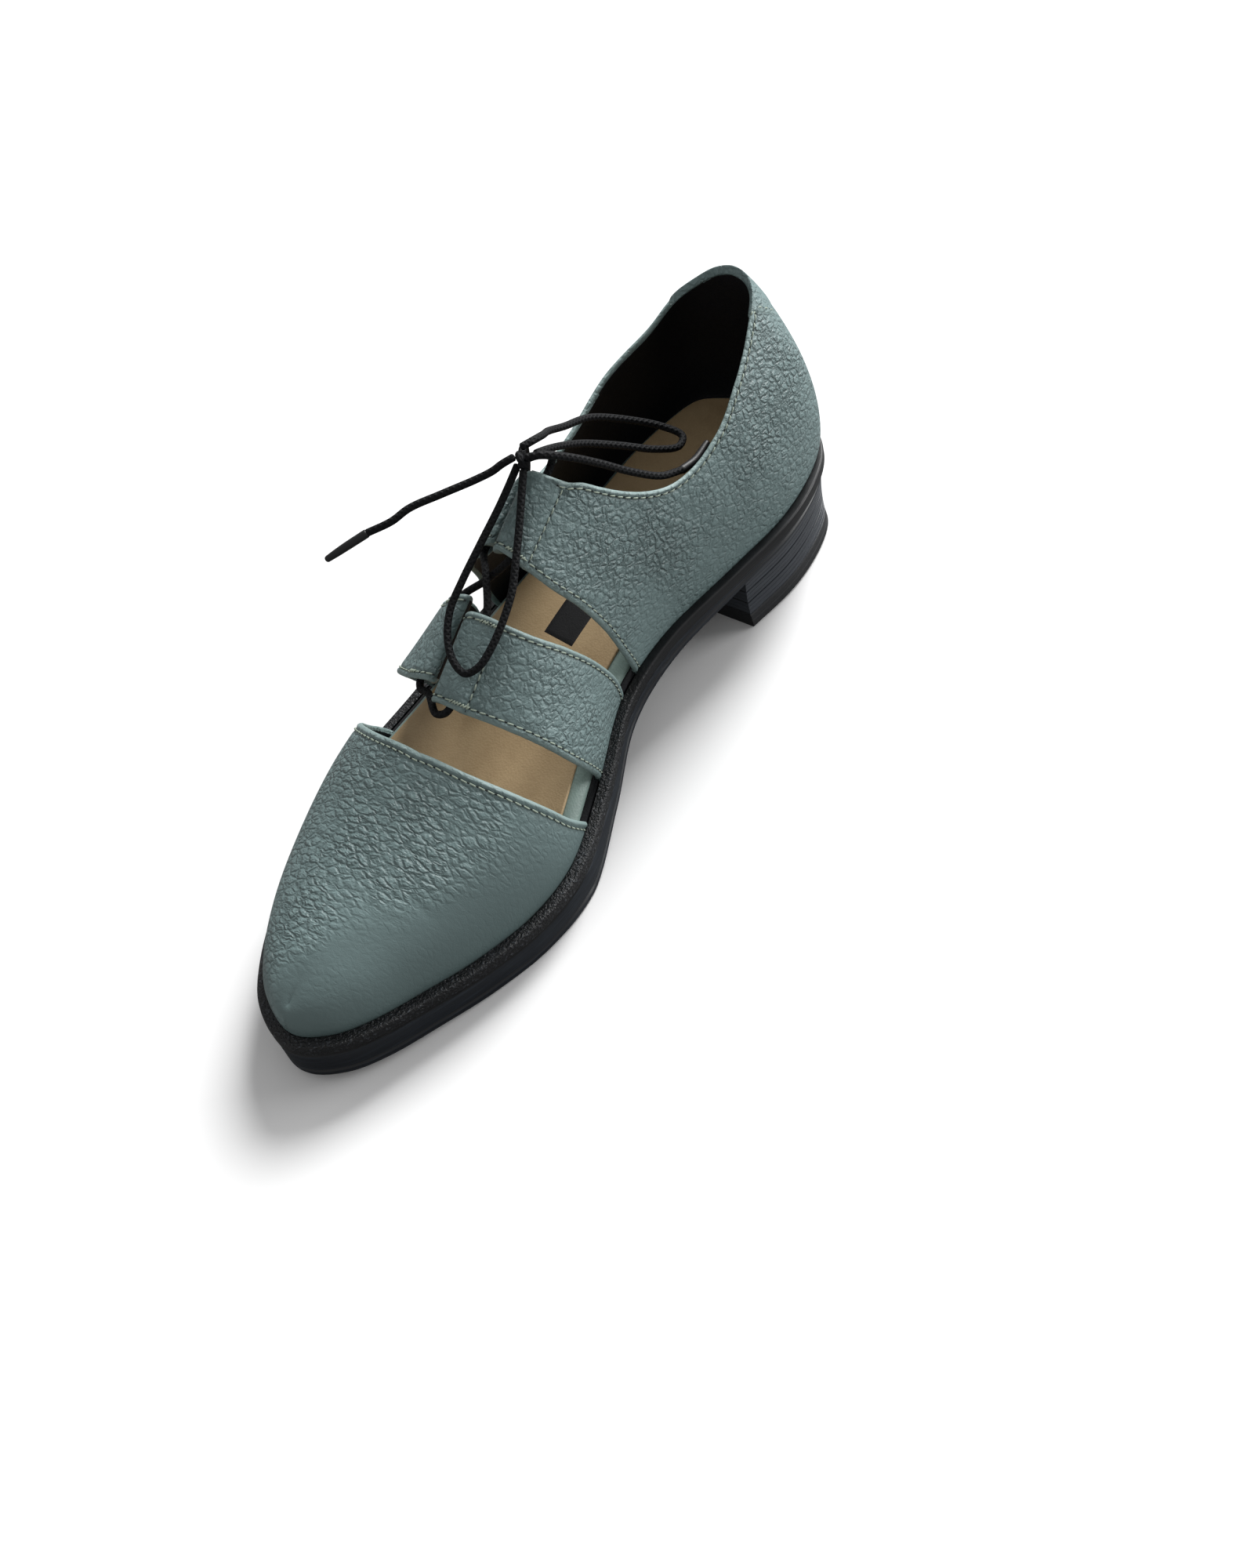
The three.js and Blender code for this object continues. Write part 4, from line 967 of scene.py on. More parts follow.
@dataclass
class Lace:
    """The lace: a bar and a crossing through the tabs' tunnels, the knot, two loops and two ends."""

    diameter: float = 2.25
    aglet_diameter: float = 2.8
    tunnel_depth: float = 1.3
    knot: tuple[float, float, float] = (106.1, -0.6, 103.7)
    front_loop: tuple = (
        (107.4, -2, 102.3), (110.8, -2.2, 100), (117.9, -2.3, 96.1), (129, -3.3, 89.8), (138.6, -4.2, 84.1),
        (145.1, -4.4, 80), (151, -2.2, 76.4), (156.1, 2.5, 73), (157.8, 8, 71.4), (154.9, 11.1, 72.6),
        (149.1, 12.4, 75.7), (141.6, 12.4, 80), (134.9, 11.5, 84.1), (127.3, 8.8, 89.3), (119.9, 5.9, 94.3),
        (112, 2.6, 100), (108.6, 1.2, 102.5))
    back_loop: tuple = (
        (103.9, -1.5, 106.7), (99.9, -0.4, 106.2), (93.6, -3.4, 101.5), (88.5, -6.6, 97.3),
        (80.7, -8.3, 91.7), (68.4, -9.7, 84.1), (57.4, -6.1, 75.1), (49.8, 0.2, 68), (48.4, 6, 65.4),
        (53.6, 8.6, 66.3), (61.8, 6.6, 71.6), (70.6, 2.4, 79.2), (80.8, -1.2, 87.7), (90.1, -1, 95.1),
        (96.8, 0, 100), (101.4, 0.4, 102.7))
    left_end: tuple = (
        (107.5, -2.4, 105.4), (110.2, -4.7, 104.4), (112.6, -6.8, 103.0), (116.2, -10.6, 101.5),
        (124, -17.5, 100.2), (131.4, -24.2, 98.7), (136.6, -27.2, 97.1), (141.7, -33.1, 94.8))
    left_aglet: tuple = ((142, -33.3, 94.7), (147.1, -37.6, 92.5), (151.8, -42.2, 89.8))
    right_end: tuple = (
        (106.0, 1.6, 105.7), (103.4, 5.2, 105.7), (97.2, 8.8, 100.6), (89.5, 11.5, 92.4),
        (81.3, 14.6, 82.9), (73, 17.6, 75), (65.9, 18.9, 71.3))
    right_aglet: tuple = ((65.5, 19, 71.1), (59.3, 19.4, 69.9), (51.8, 18.6, 69.9))

    def inside(self, u: float, side: Side, deeper: float = 0.0, shift: float = 0.0) -> Array:
        """Middle of a tunnel at u, a little deeper or shifted round the last."""
        return LAST.girth(u, LAST.tunnel(u, side) + shift, self.tunnel_depth + deeper)

    def free_cord(self, name: str, points: tuple,
                  material: bpy.types.Material) -> bpy.types.Object:
        """One free run of the lace as a tube."""
        path = cord_path(points)
        piece = seat(make_piece(name, tube(path, self.diameter), [material]), "lace", name)
        return piece

    def build(self) -> None:
        """All runs of the lace, the free ones first."""
        cord, tip = LACE.build(), AGLET.build()
        for name, points, aglet_name, aglet in (
                ("lace_end_left", self.left_end, "aglet_left", self.left_aglet),
                ("lace_end_right", self.right_end, "aglet_right", self.right_aglet)):
            path = cord_path(aglet)
            taper = 1 - 0.25 * np.linspace(0, 1, len(path)) ** 3
            shell = tube(path, self.aglet_diameter * 0.93, taper=taper)
            end = seat(make_piece(aglet_name, shell, [tip]), "aglet", aglet_name)
            self.free_cord(name, points, cord)
        knot = seat(make_piece("lace_knot", self.knot_shell(), [cord]), "lace", "lace_knot")
        self.free_cord("lace_loop_front", self.front_loop, cord)
        self.free_cord("lace_loop_back", self.back_loop, cord)
        seat(make_piece("lace_bar", self.bar_shell(), [cord]), "lace", "lace_bar")
        seat(make_piece("lace_crossing", self.crossing_shell(), [cord]), "lace", "lace_crossing")

    def knot_shell(self) -> Shell:
        """Two rises out of the tunnels, and one turn and a bit wrapped about them."""
        rises = []
        for side, foot in ((Side.MEDIAL, (99.8, 4.4, 101.4)), (Side.LATERAL, (99.8, -5.4, 101.4))):
            top = (102.6, 2.3, 103.6) if side is Side.MEDIAL else (102.6, -3.4, 103.6)
            deep = [self.inside(u, side) for u in (0.462, 0.450, 0.438)]
            rises.append(tube(cord_path([*deep, self.inside(0.427, side, -0.4), foot, top, self.knot]),
                              self.diameter))
        turn = np.linspace(0, 2.25 * math.pi, 40)
        ring = np.stack([0.35 * (turn / math.pi - 1.1), 1.9 * np.cos(turn), 1.9 * np.sin(turn)], 1)
        a, b = -0.7, 0.5
        about_z = np.array([[math.cos(a), -math.sin(a), 0], [math.sin(a), math.cos(a), 0], [0, 0, 1]])
        about_y = np.array([[math.cos(b), 0, math.sin(b)], [0, 1, 0], [-math.sin(b), 0, math.cos(b)]])
        wrap = ring @ (about_y @ about_z).T + self.knot
        return joined([*rises, tube(wrap, self.diameter)])

    def bar_shell(self) -> Shell:
        """The run across the front edges of the straps, with its ends in their tunnels."""
        lags = {Side.MEDIAL: 0.0, Side.LATERAL: LAST.strap_lag}
        runs = {}
        for side, lag in lags.items():
            runs[side] = [*(self.inside(u - lag, side) for u in (0.572, 0.586, 0.597)),
                          self.inside(0.602 - lag, side, 0.4, -0.02 * side.value),
                          self.inside(0.6045 - lag, side, 0.9, -0.07 * side.value)]
        return tube(cord_path([*runs[Side.MEDIAL], *runs[Side.LATERAL][::-1]]), self.diameter)

    def crossing_shell(self) -> Shell:
        """Two runs that cross between the quarters and the straps, one over the other."""
        middle = np.mean([self.inside(0.516 - LAST.strap_lag / 2, side) for side in Side], axis=0)
        shells = []
        for start, end, lift in ((Side.LATERAL, Side.MEDIAL, 1.15), (Side.MEDIAL, Side.LATERAL, -1.15)):
            start_lag = LAST.quarter_lag if start is Side.LATERAL else 0.0
            end_lag = LAST.strap_lag if end is Side.LATERAL else 0.0
            shells.append(tube(cord_path([
                *(self.inside(u - start_lag, start) for u in (0.476, 0.488, 0.498)),
                middle + [0, 0, lift],
                *(self.inside(u - end_lag, end) for u in (0.537, 0.547, 0.558))]), self.diameter))
        return joined(shells)


@dataclass
class Seam:
    """Places and directions of the stitches of one row."""

    points: Array
    tangents: Array
    normals: Array


def near_distance(points: Array, line: Array) -> Array:
    """Distance from each point to the nearest sample of a line, in slices to save memory."""
    flat = points.reshape(-1, 3).astype(np.float32)
    line = line.astype(np.float32)
    near = np.empty(len(flat), np.float32)
    for start in range(0, len(flat), 4000):
        part = flat[start:start + 4000]
        near[start:start + 4000] = np.sqrt(((part[:, None] - line[None]) ** 2).sum(-1)).min(1)
    return near.reshape(points.shape[:-1]).astype(float)


def turned(grid: Array) -> Array:
    """A grid with its columns as rows, the last one first."""
    return grid.swapaxes(0, 1)[::-1]


def surface_normals(points: Array) -> Array:
    """Unit normals of a grid of points from the cross product of its two gradients."""
    return unit(np.cross(np.gradient(points, axis=0), np.gradient(points, axis=1)))


def contour(distance: Array, level: float, points: Array, normals: Array) -> tuple[Array, Array]:
    """Line at a distance from the edge at row 0, one point for each column of the grids.

    Args:
        distance: Distances that grow from row 0.
        level: The wanted distance.
        points: Surface points.
        normals: Surface normals.

    Returns:
        The line's points and normals.
    """
    k = np.clip(np.argmax(distance >= level, axis=0), 1, len(distance) - 1)
    j = np.arange(distance.shape[1])
    low, high = distance[k - 1, j], distance[k, j]
    t = np.clip((level - low) / np.maximum(high - low, 1e-9), 0, 1)[:, None]
    return mix(points[k - 1, j], points[k, j], t), unit(mix(normals[k - 1, j], normals[k, j], t))


def stitch_row(line: Array, normals: Array, pitch: float, start: float = 0.0, end: float = 0.0) -> Seam:
    """Stitches at a pitch along a line, leaving out a length at each of its ends."""
    run = run_along(line)
    count = max(1, int((run[-1] - start - end) / pitch))
    at = start + (np.arange(count) + 0.5) * (run[-1] - start - end) / count
    ways = unit(sample(line, run, at + 0.6) - sample(line, run, at - 0.6))
    return Seam(sample(line, run, at), ways, unit(sample(normals, run, at)))


def stitches(seams: Sequence[Seam], length: float, width: float, sink: float, lift: float,
             shift: float = 0.0, slant: float = 0.0) -> Shell:
    """Short arched rolls of thread, one at each place of the seams.

    A roll is an ellipse of (width, 0.8 width) carried along x while its middle follows
    lift - sink * (2x / length)^2, so that both ends dive into the leather.

    Args:
        seams: Rows of places.
        length: Length of one roll.
        width: Its width.
        sink: How far its ends lie below its middle.
        lift: Height of its middle over the leather.
        shift: How far each is moved along the row.
        slant: Turn of each about the normal, in radians.

    Returns:
        All rolls in one shell.
    """
    x = np.array([-1.0, -0.97, -0.7, 0.0, 0.7, 0.97, 1.0])
    size = np.array([0.0, 0.5, 0.9, 1.0, 0.9, 0.5, 0.0])
    angle = np.linspace(0, 2 * math.pi, 7)
    rows, columns = len(x), len(angle)
    along = np.repeat(x[:, None] * length / 2, columns, 1)
    across = size[:, None] * np.cos(angle) * width / 2
    height = lift - sink * x[:, None] ** 2 + size[:, None] * np.sin(angle) * width * 0.4
    p = np.concatenate([s.points for s in seams])
    t = np.concatenate([s.tangents for s in seams])
    n = np.concatenate([s.normals for s in seams])
    b = unit(np.cross(n, t))
    t, b = math.cos(slant) * t + math.sin(slant) * b, math.cos(slant) * b - math.sin(slant) * t
    p = p + t * shift
    made = (p[:, None, None] + along[None, ..., None] * t[:, None, None]
            + across[None, ..., None] * b[:, None, None] + height[None, ..., None] * n[:, None, None])
    starts = np.arange(len(p)) * rows * columns
    faces = (grid_faces(rows, columns)[None] + starts[:, None, None]).reshape(-1, 4)
    return Shell(made.reshape(-1, 3), faces)


@dataclass
class Upper:
    """The leather of the shoe: quarters, straps, vamp, heel tab and lasting margin."""

    stitch_pitch: float = 2.75
    seam_inset: float = 1.9
    vamp_inset: float = 2.4
    tab_line: float = 12.4
    skirt: float = 1.5
    margin_width: float = 12.0
    tack_pitch: float = 0.9
    tunnel_width: float = 8.4
    tunnel_height: float = 3.4
    back_tab_share: float = 0.151
    back_tab_inside: float = 0.018
    quarter_tack: tuple[float, float] = (14.5, 8.0)
    strap_tack: tuple[float, float] = (15.5, 9.0)
    collar_share: float = 0.86
    collar_corner: float = 0.443
    seams: list[Seam] = field(default_factory=list)
    bars: list[Seam] = field(default_factory=list)

    def tab_wall(self, side: Array, way: Array, u: Array) -> tuple[Array, Array]:
        """Girth share of a wall that ends in a tab, and the distance to its fold."""
        end = LAST.tab_end(u, side)
        g = mix(side, end * smooth((u - LAST.tab_from) / 0.1), way)
        return g, np.linalg.norm(LAST.girth(u, g) - LAST.girth(u, end), axis=-1)

    def edge_seam(self, near: Array, outer: Array, normals: Array, last: float,
                  tack: tuple[float, float]) -> Array:
        """Sew a row beside a cut edge, with close tacking stitches on a stretch near its end.

        Args:
            near: Distances to the edge at row 0.
            outer: Points of the outer face.
            normals: Its normals.
            last: Length left without stitches at the end.
            tack: Where the tacking starts, back from the end, and the length left after it.

        Returns:
            The row's line.
        """
        line, ways = contour(near, self.seam_inset, outer, normals)
        self.seams.append(stitch_row(line, ways, self.stitch_pitch, 0.5, last))
        self.bars.append(stitch_row(line, ways, self.tack_pitch, run_along(line)[-1] - tack[0], tack[1]))
        return line

    def leather_wall(self, u: Array, g: Array, depths: tuple[Array, Array], free: Array, seam: Array,
                     relief: Array, grain: Array, foot_axis: int) -> Shell:
        """Both faces of a leather piece with a rounded cut edge, and black lining inside.

        The outer face is moved in, and the inner one out, by r (1 - sqrt(1 - (1 - d / r)^2)) near
        a free edge, r being half the leather. The lining stands 0.3 mm off the inner face from
        0.9 mm in from the edge. Rows beyond the feather line run down into the welt.

        Args:
            u: Shares along the last.
            g: Girth shares.
            depths: Depths of the outer and inner faces.
            free: Distance to the nearest free edge.
            seam: Distance to the nearest row of stitches.
            relief: Depth of the outer face's own dents.
            grain: How strongly the pebbles stand up, from 0 to 1; where it is low, the material also paints
                shade.
            foot_axis: 1 if only the first column stands in the welt, 2 if both end columns do and
                the last row folds together in one line at the toe.

        Returns:
            The closed shell with marks for the edge and the seam.
        """
        outer, inner = depths
        middle = (outer + inner) / 2
        radius = LAST.leather / 2
        inset = radius * (1 - np.sqrt(1 - (1 - np.clip(free / radius, 0, 1)) ** 2))
        calm = smooth(free / 1.2)
        dip = 0.28 * bump(seam, 0.0, 0.75)
        roll = -0.22 * bump(free, 1.0, 0.5)
        out = LAST.girth(u, g, np.minimum(outer + inset, middle) + (relief + dip + roll) * calm)
        lined = free > 0.9
        step = 0.3 * smooth((free - 0.9) / 0.3)
        into = LAST.girth(u, g, np.maximum(inner - inset, middle) + step)
        marks = {"edge_mm": np.minimum(free, 9.0), "seam_mm": np.minimum(seam, 9.0),
                 "grain": grain * (0.4 + 0.6 * smooth((free - 0.4) / 1.5))}
        down = np.array([0.0, 0.0, self.skirt])
        parts = []
        for grid in (out, into):
            grid = np.concatenate([grid[:, :1] - down, grid], 1)
            if foot_axis == 2:
                grid = np.concatenate([grid, grid[:, -1:] - down], 1)
            parts.append(grid)
        padding = ((0, 0), (1, foot_axis - 1))
        marks = {n: np.pad(v, padding, mode="edge").ravel() for n, v in marks.items()}
        lined = np.pad(lined, padding, mode="edge")
        rows, columns = lined.shape
        faces = wall_faces(rows, columns, foot_axis == 1)
        quads = (rows - 1) * (columns - 1)
        inner_faces = faces[quads:2 * quads] - rows * columns
        looks = np.zeros(len(faces), int)
        looks[quads:2 * quads] = lined.ravel()[inner_faces].all(1)
        points = np.concatenate([p.reshape(-1, 3) for p in parts])
        return Shell(points, faces, looks, {n: np.tile(v, 2) for n, v in marks.items()})

    def tunnel_shell(self, side: Side, low: float, high: float) -> Shell:
        """The space for the lace: a superellipse carried along the tab."""
        u = np.linspace(low, high, 24)
        g = LAST.tunnel(u, side)
        depth = LAST.tab_thickness / 2 - LAST.tab_raise
        centre = LAST.girth(u, g, depth)
        across = unit(LAST.girth(u, g + 0.01, depth) - LAST.girth(u, g - 0.01, depth))
        up = unit(np.cross(unit(np.gradient(centre, axis=0)), across))
        t = np.linspace(0, 2 * math.pi, 33)
        wide, tall = (np.sign(way) * np.abs(way) ** 0.6 * size / 2
                      for way, size in ((np.cos(t), self.tunnel_width), (np.sin(t), self.tunnel_height)))
        rings = (centre[:, None] + wide[None, :, None] * across[:, None] + tall[None, :, None] * up[:, None])
        ends = [np.repeat(centre[k][None, None], len(t), 1) for k in (0, -1)]
        rings = np.concatenate([ends[0], rings, ends[1]])
        return Shell(rings.reshape(-1, 3), grid_faces(*rings.shape[:2]))

    def cut_tunnels(self, piece: bpy.types.Object, sides: Sequence[Side], low: float, high: float,
                    lag: float) -> None:
        """Take the tunnels out of a piece's tabs."""
        for side in sides:
            back = lag if side is Side.LATERAL else 0.0
            tool = make_piece("tunnel_tool", self.tunnel_shell(side, low - back, high - back), [])
            cut = piece.modifiers.new("tunnel", "BOOLEAN")
            cut.operation, cut.object, cut.solver = "DIFFERENCE", tool, "MANIFOLD"
            bpy.context.view_layer.update()
            graph = bpy.context.evaluated_depsgraph_get()
            settled = bpy.data.meshes.new_from_object(piece.evaluated_get(graph))
            piece.modifiers.clear()
            piece.data = settled
            bpy.data.objects.remove(tool)

    def quarter_grid(self) -> tuple[Array, Array, Array, Array, int]:
        """Grid of the quarters: columns round the heel and rows up the girth.

        Returns:
            The columns from -1 at the lateral front to 1 at the medial one, the shares along the
            last, the shares up the girth, the signs of the side, and the columns of a tab.
        """
        collar = np.linspace(0, 1, 150) ** 0.85 * self.collar_share
        fold = mix(self.collar_share, 1.0, shares_to_edge(16, 0.12, 7))[1:]
        half = np.concatenate([collar, fold])
        a = np.concatenate([-half[:0:-1], half])[:, None]
        share = shares_to_edge(70, 0.05)[None, :]
        side = np.where(a < 0, -1.0, 1.0)
        way = np.abs(a)
        low, high = QUARTER_EDGE[1][0], QUARTER_EDGE[1][-1]
        top_u = np.where(way < self.collar_share, way / self.collar_share * self.collar_corner,
                         mix(self.collar_corner, high, (way - self.collar_share) / (1 - self.collar_share)))
        top = np.where(way < self.collar_share, collar_line(top_u, side), 1.0)
        bow = table(QUARTER_EDGE, share) - mix(low, high, share)
        lag = np.where(side < 0, LAST.quarter_lag, 0.0)
        u = np.clip(mix(low * way, top_u, share) + (bow - lag) * way**3, 0, 1)
        return a[:, 0], u, share * top, np.broadcast_to(side, u.shape), len(fold)

    def quarters(self, materials: Sequence[bpy.types.Material]) -> bpy.types.Object:
        """The two quarters in one wall round the heel, from one front edge to the other."""
        a, u, up, side, tab_columns = self.quarter_grid()
        g, distance = self.tab_wall(side, up, u)
        base = LAST.girth(u, g)
        on_collar = np.abs(a) <= self.collar_share + 1e-9
        edges = [base[0], base[-1], base[on_collar][:, -1]]
        rim = np.concatenate([densely(e) for e in edges])
        free = near_distance(base, rim)
        depths = LAST.tab_depths(u, distance)
        outer = LAST.girth(u, g, depths[0])
        normals = -surface_normals(outer)
        to_collar = near_distance(base, densely(edges[2]))
        to_fronts = [near_distance(base, densely(e)) for e in edges[:2]]
        line, ways = contour(turned(to_collar[on_collar]), self.seam_inset, turned(outer[on_collar]),
                             turned(normals[on_collar]))
        self.seams.append(stitch_row(line, ways, self.stitch_pitch, 1.0, 1.0))
        rows = [line]
        fold_in = np.where(u >= LAST.tab_from, distance, 99.0)
        for k, front in enumerate(to_fronts):
            order = slice(None) if k == 0 else slice(None, None, -1)
            rows.append(self.edge_seam(front[order], outer[order], normals[order], 1.8, self.quarter_tack))
            end = np.arange(len(a))[order] < tab_columns + 12
            line, ways = contour(turned(fold_in[end]), self.tab_line, turned(outer[end]),
                                 turned(normals[end]))
            keep = near_distance(line, rim) > self.seam_inset
            self.seams.append(stitch_row(line[keep], ways[keep], self.stitch_pitch))
            rows.append(line[keep])
        seam = near_distance(outer, np.concatenate([densely(r, 0.3) for r in rows]))
        relief = self.ankle_folds(u, g)
        v = 1 - np.abs(g)
        grain = 0.55 + 0.45 * smooth((v - 0.05) / 0.2) * (1 - 0.35 * smooth((v - 0.8) / 0.15))
        shell = self.leather_wall(u, g, depths, free, seam, relief, grain, 1)
        piece = make_piece("quarters", shell, materials, 50)
        self.cut_tunnels(piece, list(Side), 0.405, 0.515, 0.0)
        return piece

    @staticmethod
    def ankle_folds(u: Array, g: Array) -> Array:
        """Soft hollows where the ankle bends the quarters, as bells across slanting lines."""
        v = 1 - np.abs(g)
        folds = ((0.17, 0.35, 0.10, 0.35), (0.24, 0.28, 0.08, 0.3), (0.33, 0.24, 0.05, -0.25),
                 (0.40, 0.42, -0.06, 0.25), (0.08, 0.22, 0.03, 0.3))
        return sum(depth * bump(u - lean * (v - at_v), at_u, 0.016) * bump(v, at_v, 0.15)
                   for at_u, at_v, lean, depth in folds)

    def strap(self, side: Side, materials: Sequence[bpy.types.Material]) -> bpy.types.Object:
        """One strap from the feather line to its folded tab."""
        a = shares_both_edges(40, 0.09)[:, None]
        share = shares_to_edge(70, 0.055)[None, :]
        lag = LAST.strap_lag if side is Side.LATERAL else 0.0
        u = mix(table(STRAP_REAR, share), table(STRAP_FRONT, share), a) - lag
        sign = np.full(u.shape, float(side.value))
        g, distance = self.tab_wall(sign, np.broadcast_to(share, u.shape), u)
        base = LAST.girth(u, g)
        free = near_distance(base, np.concatenate([densely(base[0]), densely(base[-1])]))
        depths = LAST.tab_depths(u, distance)
        outer = LAST.girth(u, g, depths[0])
        normals = -surface_normals(outer) * side.value
        rows = []
        for k, order in enumerate((slice(None), slice(None, None, -1))):
            edge = near_distance(base, densely(base[0 if k == 0 else -1]))
            rows.append(self.edge_seam(edge[order], outer[order], normals[order], 1.2, self.strap_tack))
        line, ways = contour(turned(distance), self.tab_line, turned(outer), turned(normals))
        keep = near_distance(line, np.concatenate(rows)) > 0.8
        self.seams.append(stitch_row(line[keep], ways[keep], self.stitch_pitch, 0.8, 0.8))
        rows.append(line[keep])
        seam = near_distance(outer, np.concatenate([densely(r, 0.3) for r in rows]))
        relief = 0.35 * bump(1 - np.abs(g), 0.35, 0.12) * np.sin(math.pi * np.broadcast_to(a, u.shape)) ** 2
        shell = self.leather_wall(u, g, depths, free, seam, relief, np.full(u.shape, 0.8), 1)
        piece = make_piece(f"strap_{side.name.lower()}", shell, materials, 50)
        self.cut_tunnels(piece, [side], 0.523, 0.612, LAST.strap_lag)
        return piece

    def vamp(self, materials: Sequence[bpy.types.Material]) -> bpy.types.Object:
        """The vamp from its straight top edge to the toe, in one piece over the ridge."""
        share = (1 - shares_to_edge(110, 0.03))[::-1][:, None]
        g = np.linspace(1, -1, 181)[None, :]
        edge = table(VAMP_EDGE, 1 - np.abs(g))
        u = mix(edge, 1.0, share ** 1.1)
        g = np.broadcast_to(g, u.shape)
        base = LAST.girth(u, g)
        free = near_distance(base, densely(base[0]))
        outer = LAST.girth(u, g)
        normals = surface_normals(outer)
        line, ways = contour(free, self.vamp_inset, outer, normals)
        self.seams.append(stitch_row(line, ways, self.stitch_pitch, 2.0, 2.0))
        seam = near_distance(outer, densely(line, 0.3))
        depths = (np.zeros_like(u), np.full_like(u, LAST.leather))
        # Low grain also darkens the colour: painted shade over the toe and the vamp's medial side.
        grain = (1.0 - 0.9 * smooth((u - 0.76 + 0.25 * g) / 0.14)) * (1 - 0.75 * smooth((g - 0.35) / 0.3))
        grain = np.maximum(grain, 0.06)
        shell = self.leather_wall(u, g, depths, free, seam, self.toe_creases(u, g), grain, 2)
        piece = make_piece("vamp", shell, materials, 50)
        self.ease_toe(piece)
        return piece

    @staticmethod
    def ease_toe(piece: bpy.types.Object) -> None:
        """Draw the leather even over the toe's tip, where both sides of the grid meet in one line."""
        tip = Vector(metres(LAST.girth(1.0, 0.35)))
        built = bmesh.new()
        built.from_mesh(piece.data)
        foot = LAST.line(1.0, 1.0)[0][2] / 1000 + 0.0015
        for edge in built.edges:
            if (edge.verts[0].co - tip).length < 0.014:
                edge.smooth = True
        for reach in (0.012, 0.010, 0.008) * 3:
            near = [v for v in built.verts if (v.co - tip).length < reach and v.co.z > foot]
            bmesh.ops.smooth_vert(built, verts=near, factor=0.5, use_axis_x=True, use_axis_y=True,
                                  use_axis_z=True)
        built.to_mesh(piece.data)
        built.free()

    @staticmethod
    def toe_creases(u: Array, g: Array) -> Array:
        """Shallow walking creases across the vamp, each a bell about its own bowed line."""
        creases = ((0.690, -0.02, 0.34, 0.16, 0.0042, 0.03), (0.712, 0.10, 0.26, 0.12, 0.0036, 0.05),
                   (0.733, -0.16, 0.30, 0.14, 0.0040, 0.02), (0.757, 0.06, 0.28, 0.16, 0.0042, 0.06),
                   (0.779, -0.10, 0.22, 0.10, 0.0034, 0.03), (0.668, 0.16, 0.20, 0.10, 0.0034, 0.04),
                   (0.745, 0.42, 0.12, 0.14, 0.0045, -0.05), (0.705, -0.48, 0.12, 0.14, 0.0045, 0.05))
        return sum(depth * bump(u + bow * (g - at_g) ** 2, at_u, width) * bump(g, at_g, half)
                   for at_u, at_g, half, depth, width, bow in creases)

    def heel_tab(self, materials: Sequence[bpy.types.Material]) -> bpy.types.Object:
        """The folded piece over the back of the collar, inside and out."""
        a = np.linspace(-1, 1, 61)[:, None]
        up = np.array([0, 0.004, 0.015, 0.04, *np.linspace(0.1, 0.94, 18), 0.97, 0.99, 1.0])[None, :]
        side = np.where(a < 0, -1.0, 1.0)
        u = np.abs(a) * mix(0.117, 0.157, up)
        v = collar_line(u, side) + 0.001 - self.back_tab_share * (1 - up)
        border = 0.6 * (1 - smooth(np.minimum((1 - np.abs(a)) * 22, up * 14) / 0.9))
        out = LAST.point(u, v, side, -0.4 + 0.8 * border)
        arc = np.linspace(0, math.pi, 9)[None, 1:]
        over = LAST.point(u[:, -1:], (v[:, -1:] + 0.005 * (1 - a**6) * np.sin(arc)), side,
                          0.9 - 1.3 * np.cos(arc) + 0.8 * border[:, -1:] * np.cos(arc))
        drop = np.linspace(0, 1, 12)[None, 1:]
        low_v = v[:, -1:] - self.back_tab_inside * drop
        inside = LAST.point(u[:, -1:], low_v, side, 2.2 - 0.8 * border[:, -1:] - 0.5 * drop**6)
        skin = np.concatenate([out, over, inside], 1)
        core_depth = np.concatenate([np.full(out.shape[:2], 0.3),
                                     np.broadcast_to(0.9 - 0.5 * np.cos(arc), over.shape[:2]),
                                     np.full(inside.shape[:2], 1.4)], 1)
        core_v = np.concatenate([v, np.repeat(v[:, -1:], over.shape[1], 1), low_v], 1)
        core_u = np.concatenate([u, np.repeat(u[:, -1:], over.shape[1] + inside.shape[1], 1)], 1)
        core = LAST.point(core_u, core_v, side, core_depth)
        edge = np.broadcast_to(np.minimum((1 - np.abs(a)) * 18 + 0.3, 9.0), core_depth.shape)
        marks = {"edge_mm": np.tile(edge.ravel(), 2), "seam_mm": np.full(2 * edge.size, 9.0),
                 "grain": np.full(2 * edge.size, 0.7)}
        points = np.concatenate([skin.reshape(-1, 3), core.reshape(-1, 3)])
        shell = Shell(points, wall_faces(*skin.shape[:2]), marks=marks)
        normals = -surface_normals(out)
        for k in (2, -3):
            self.seams.append(stitch_row(out[k, 2:], normals[k, 2:], self.stitch_pitch, 0.8, 2.0))
        self.bars.append(stitch_row(out[-1, -6:], normals[-2, -6:], 0.8))
        return make_piece("heel_tab", shell, materials, 50)

    def margin(self, material: bpy.types.Material) -> bpy.types.Object:
        """Lasting margin: a flat ring turned in under the footbed."""
        inner, outer = -self.margin_width, -0.4
        profile = ((outer, LAST.leather), (outer, 0.0), (inner, 0.0), (inner, LAST.leather))
        return make_piece("lasting_margin", rim_ring(160, lambda width: profile), [material])

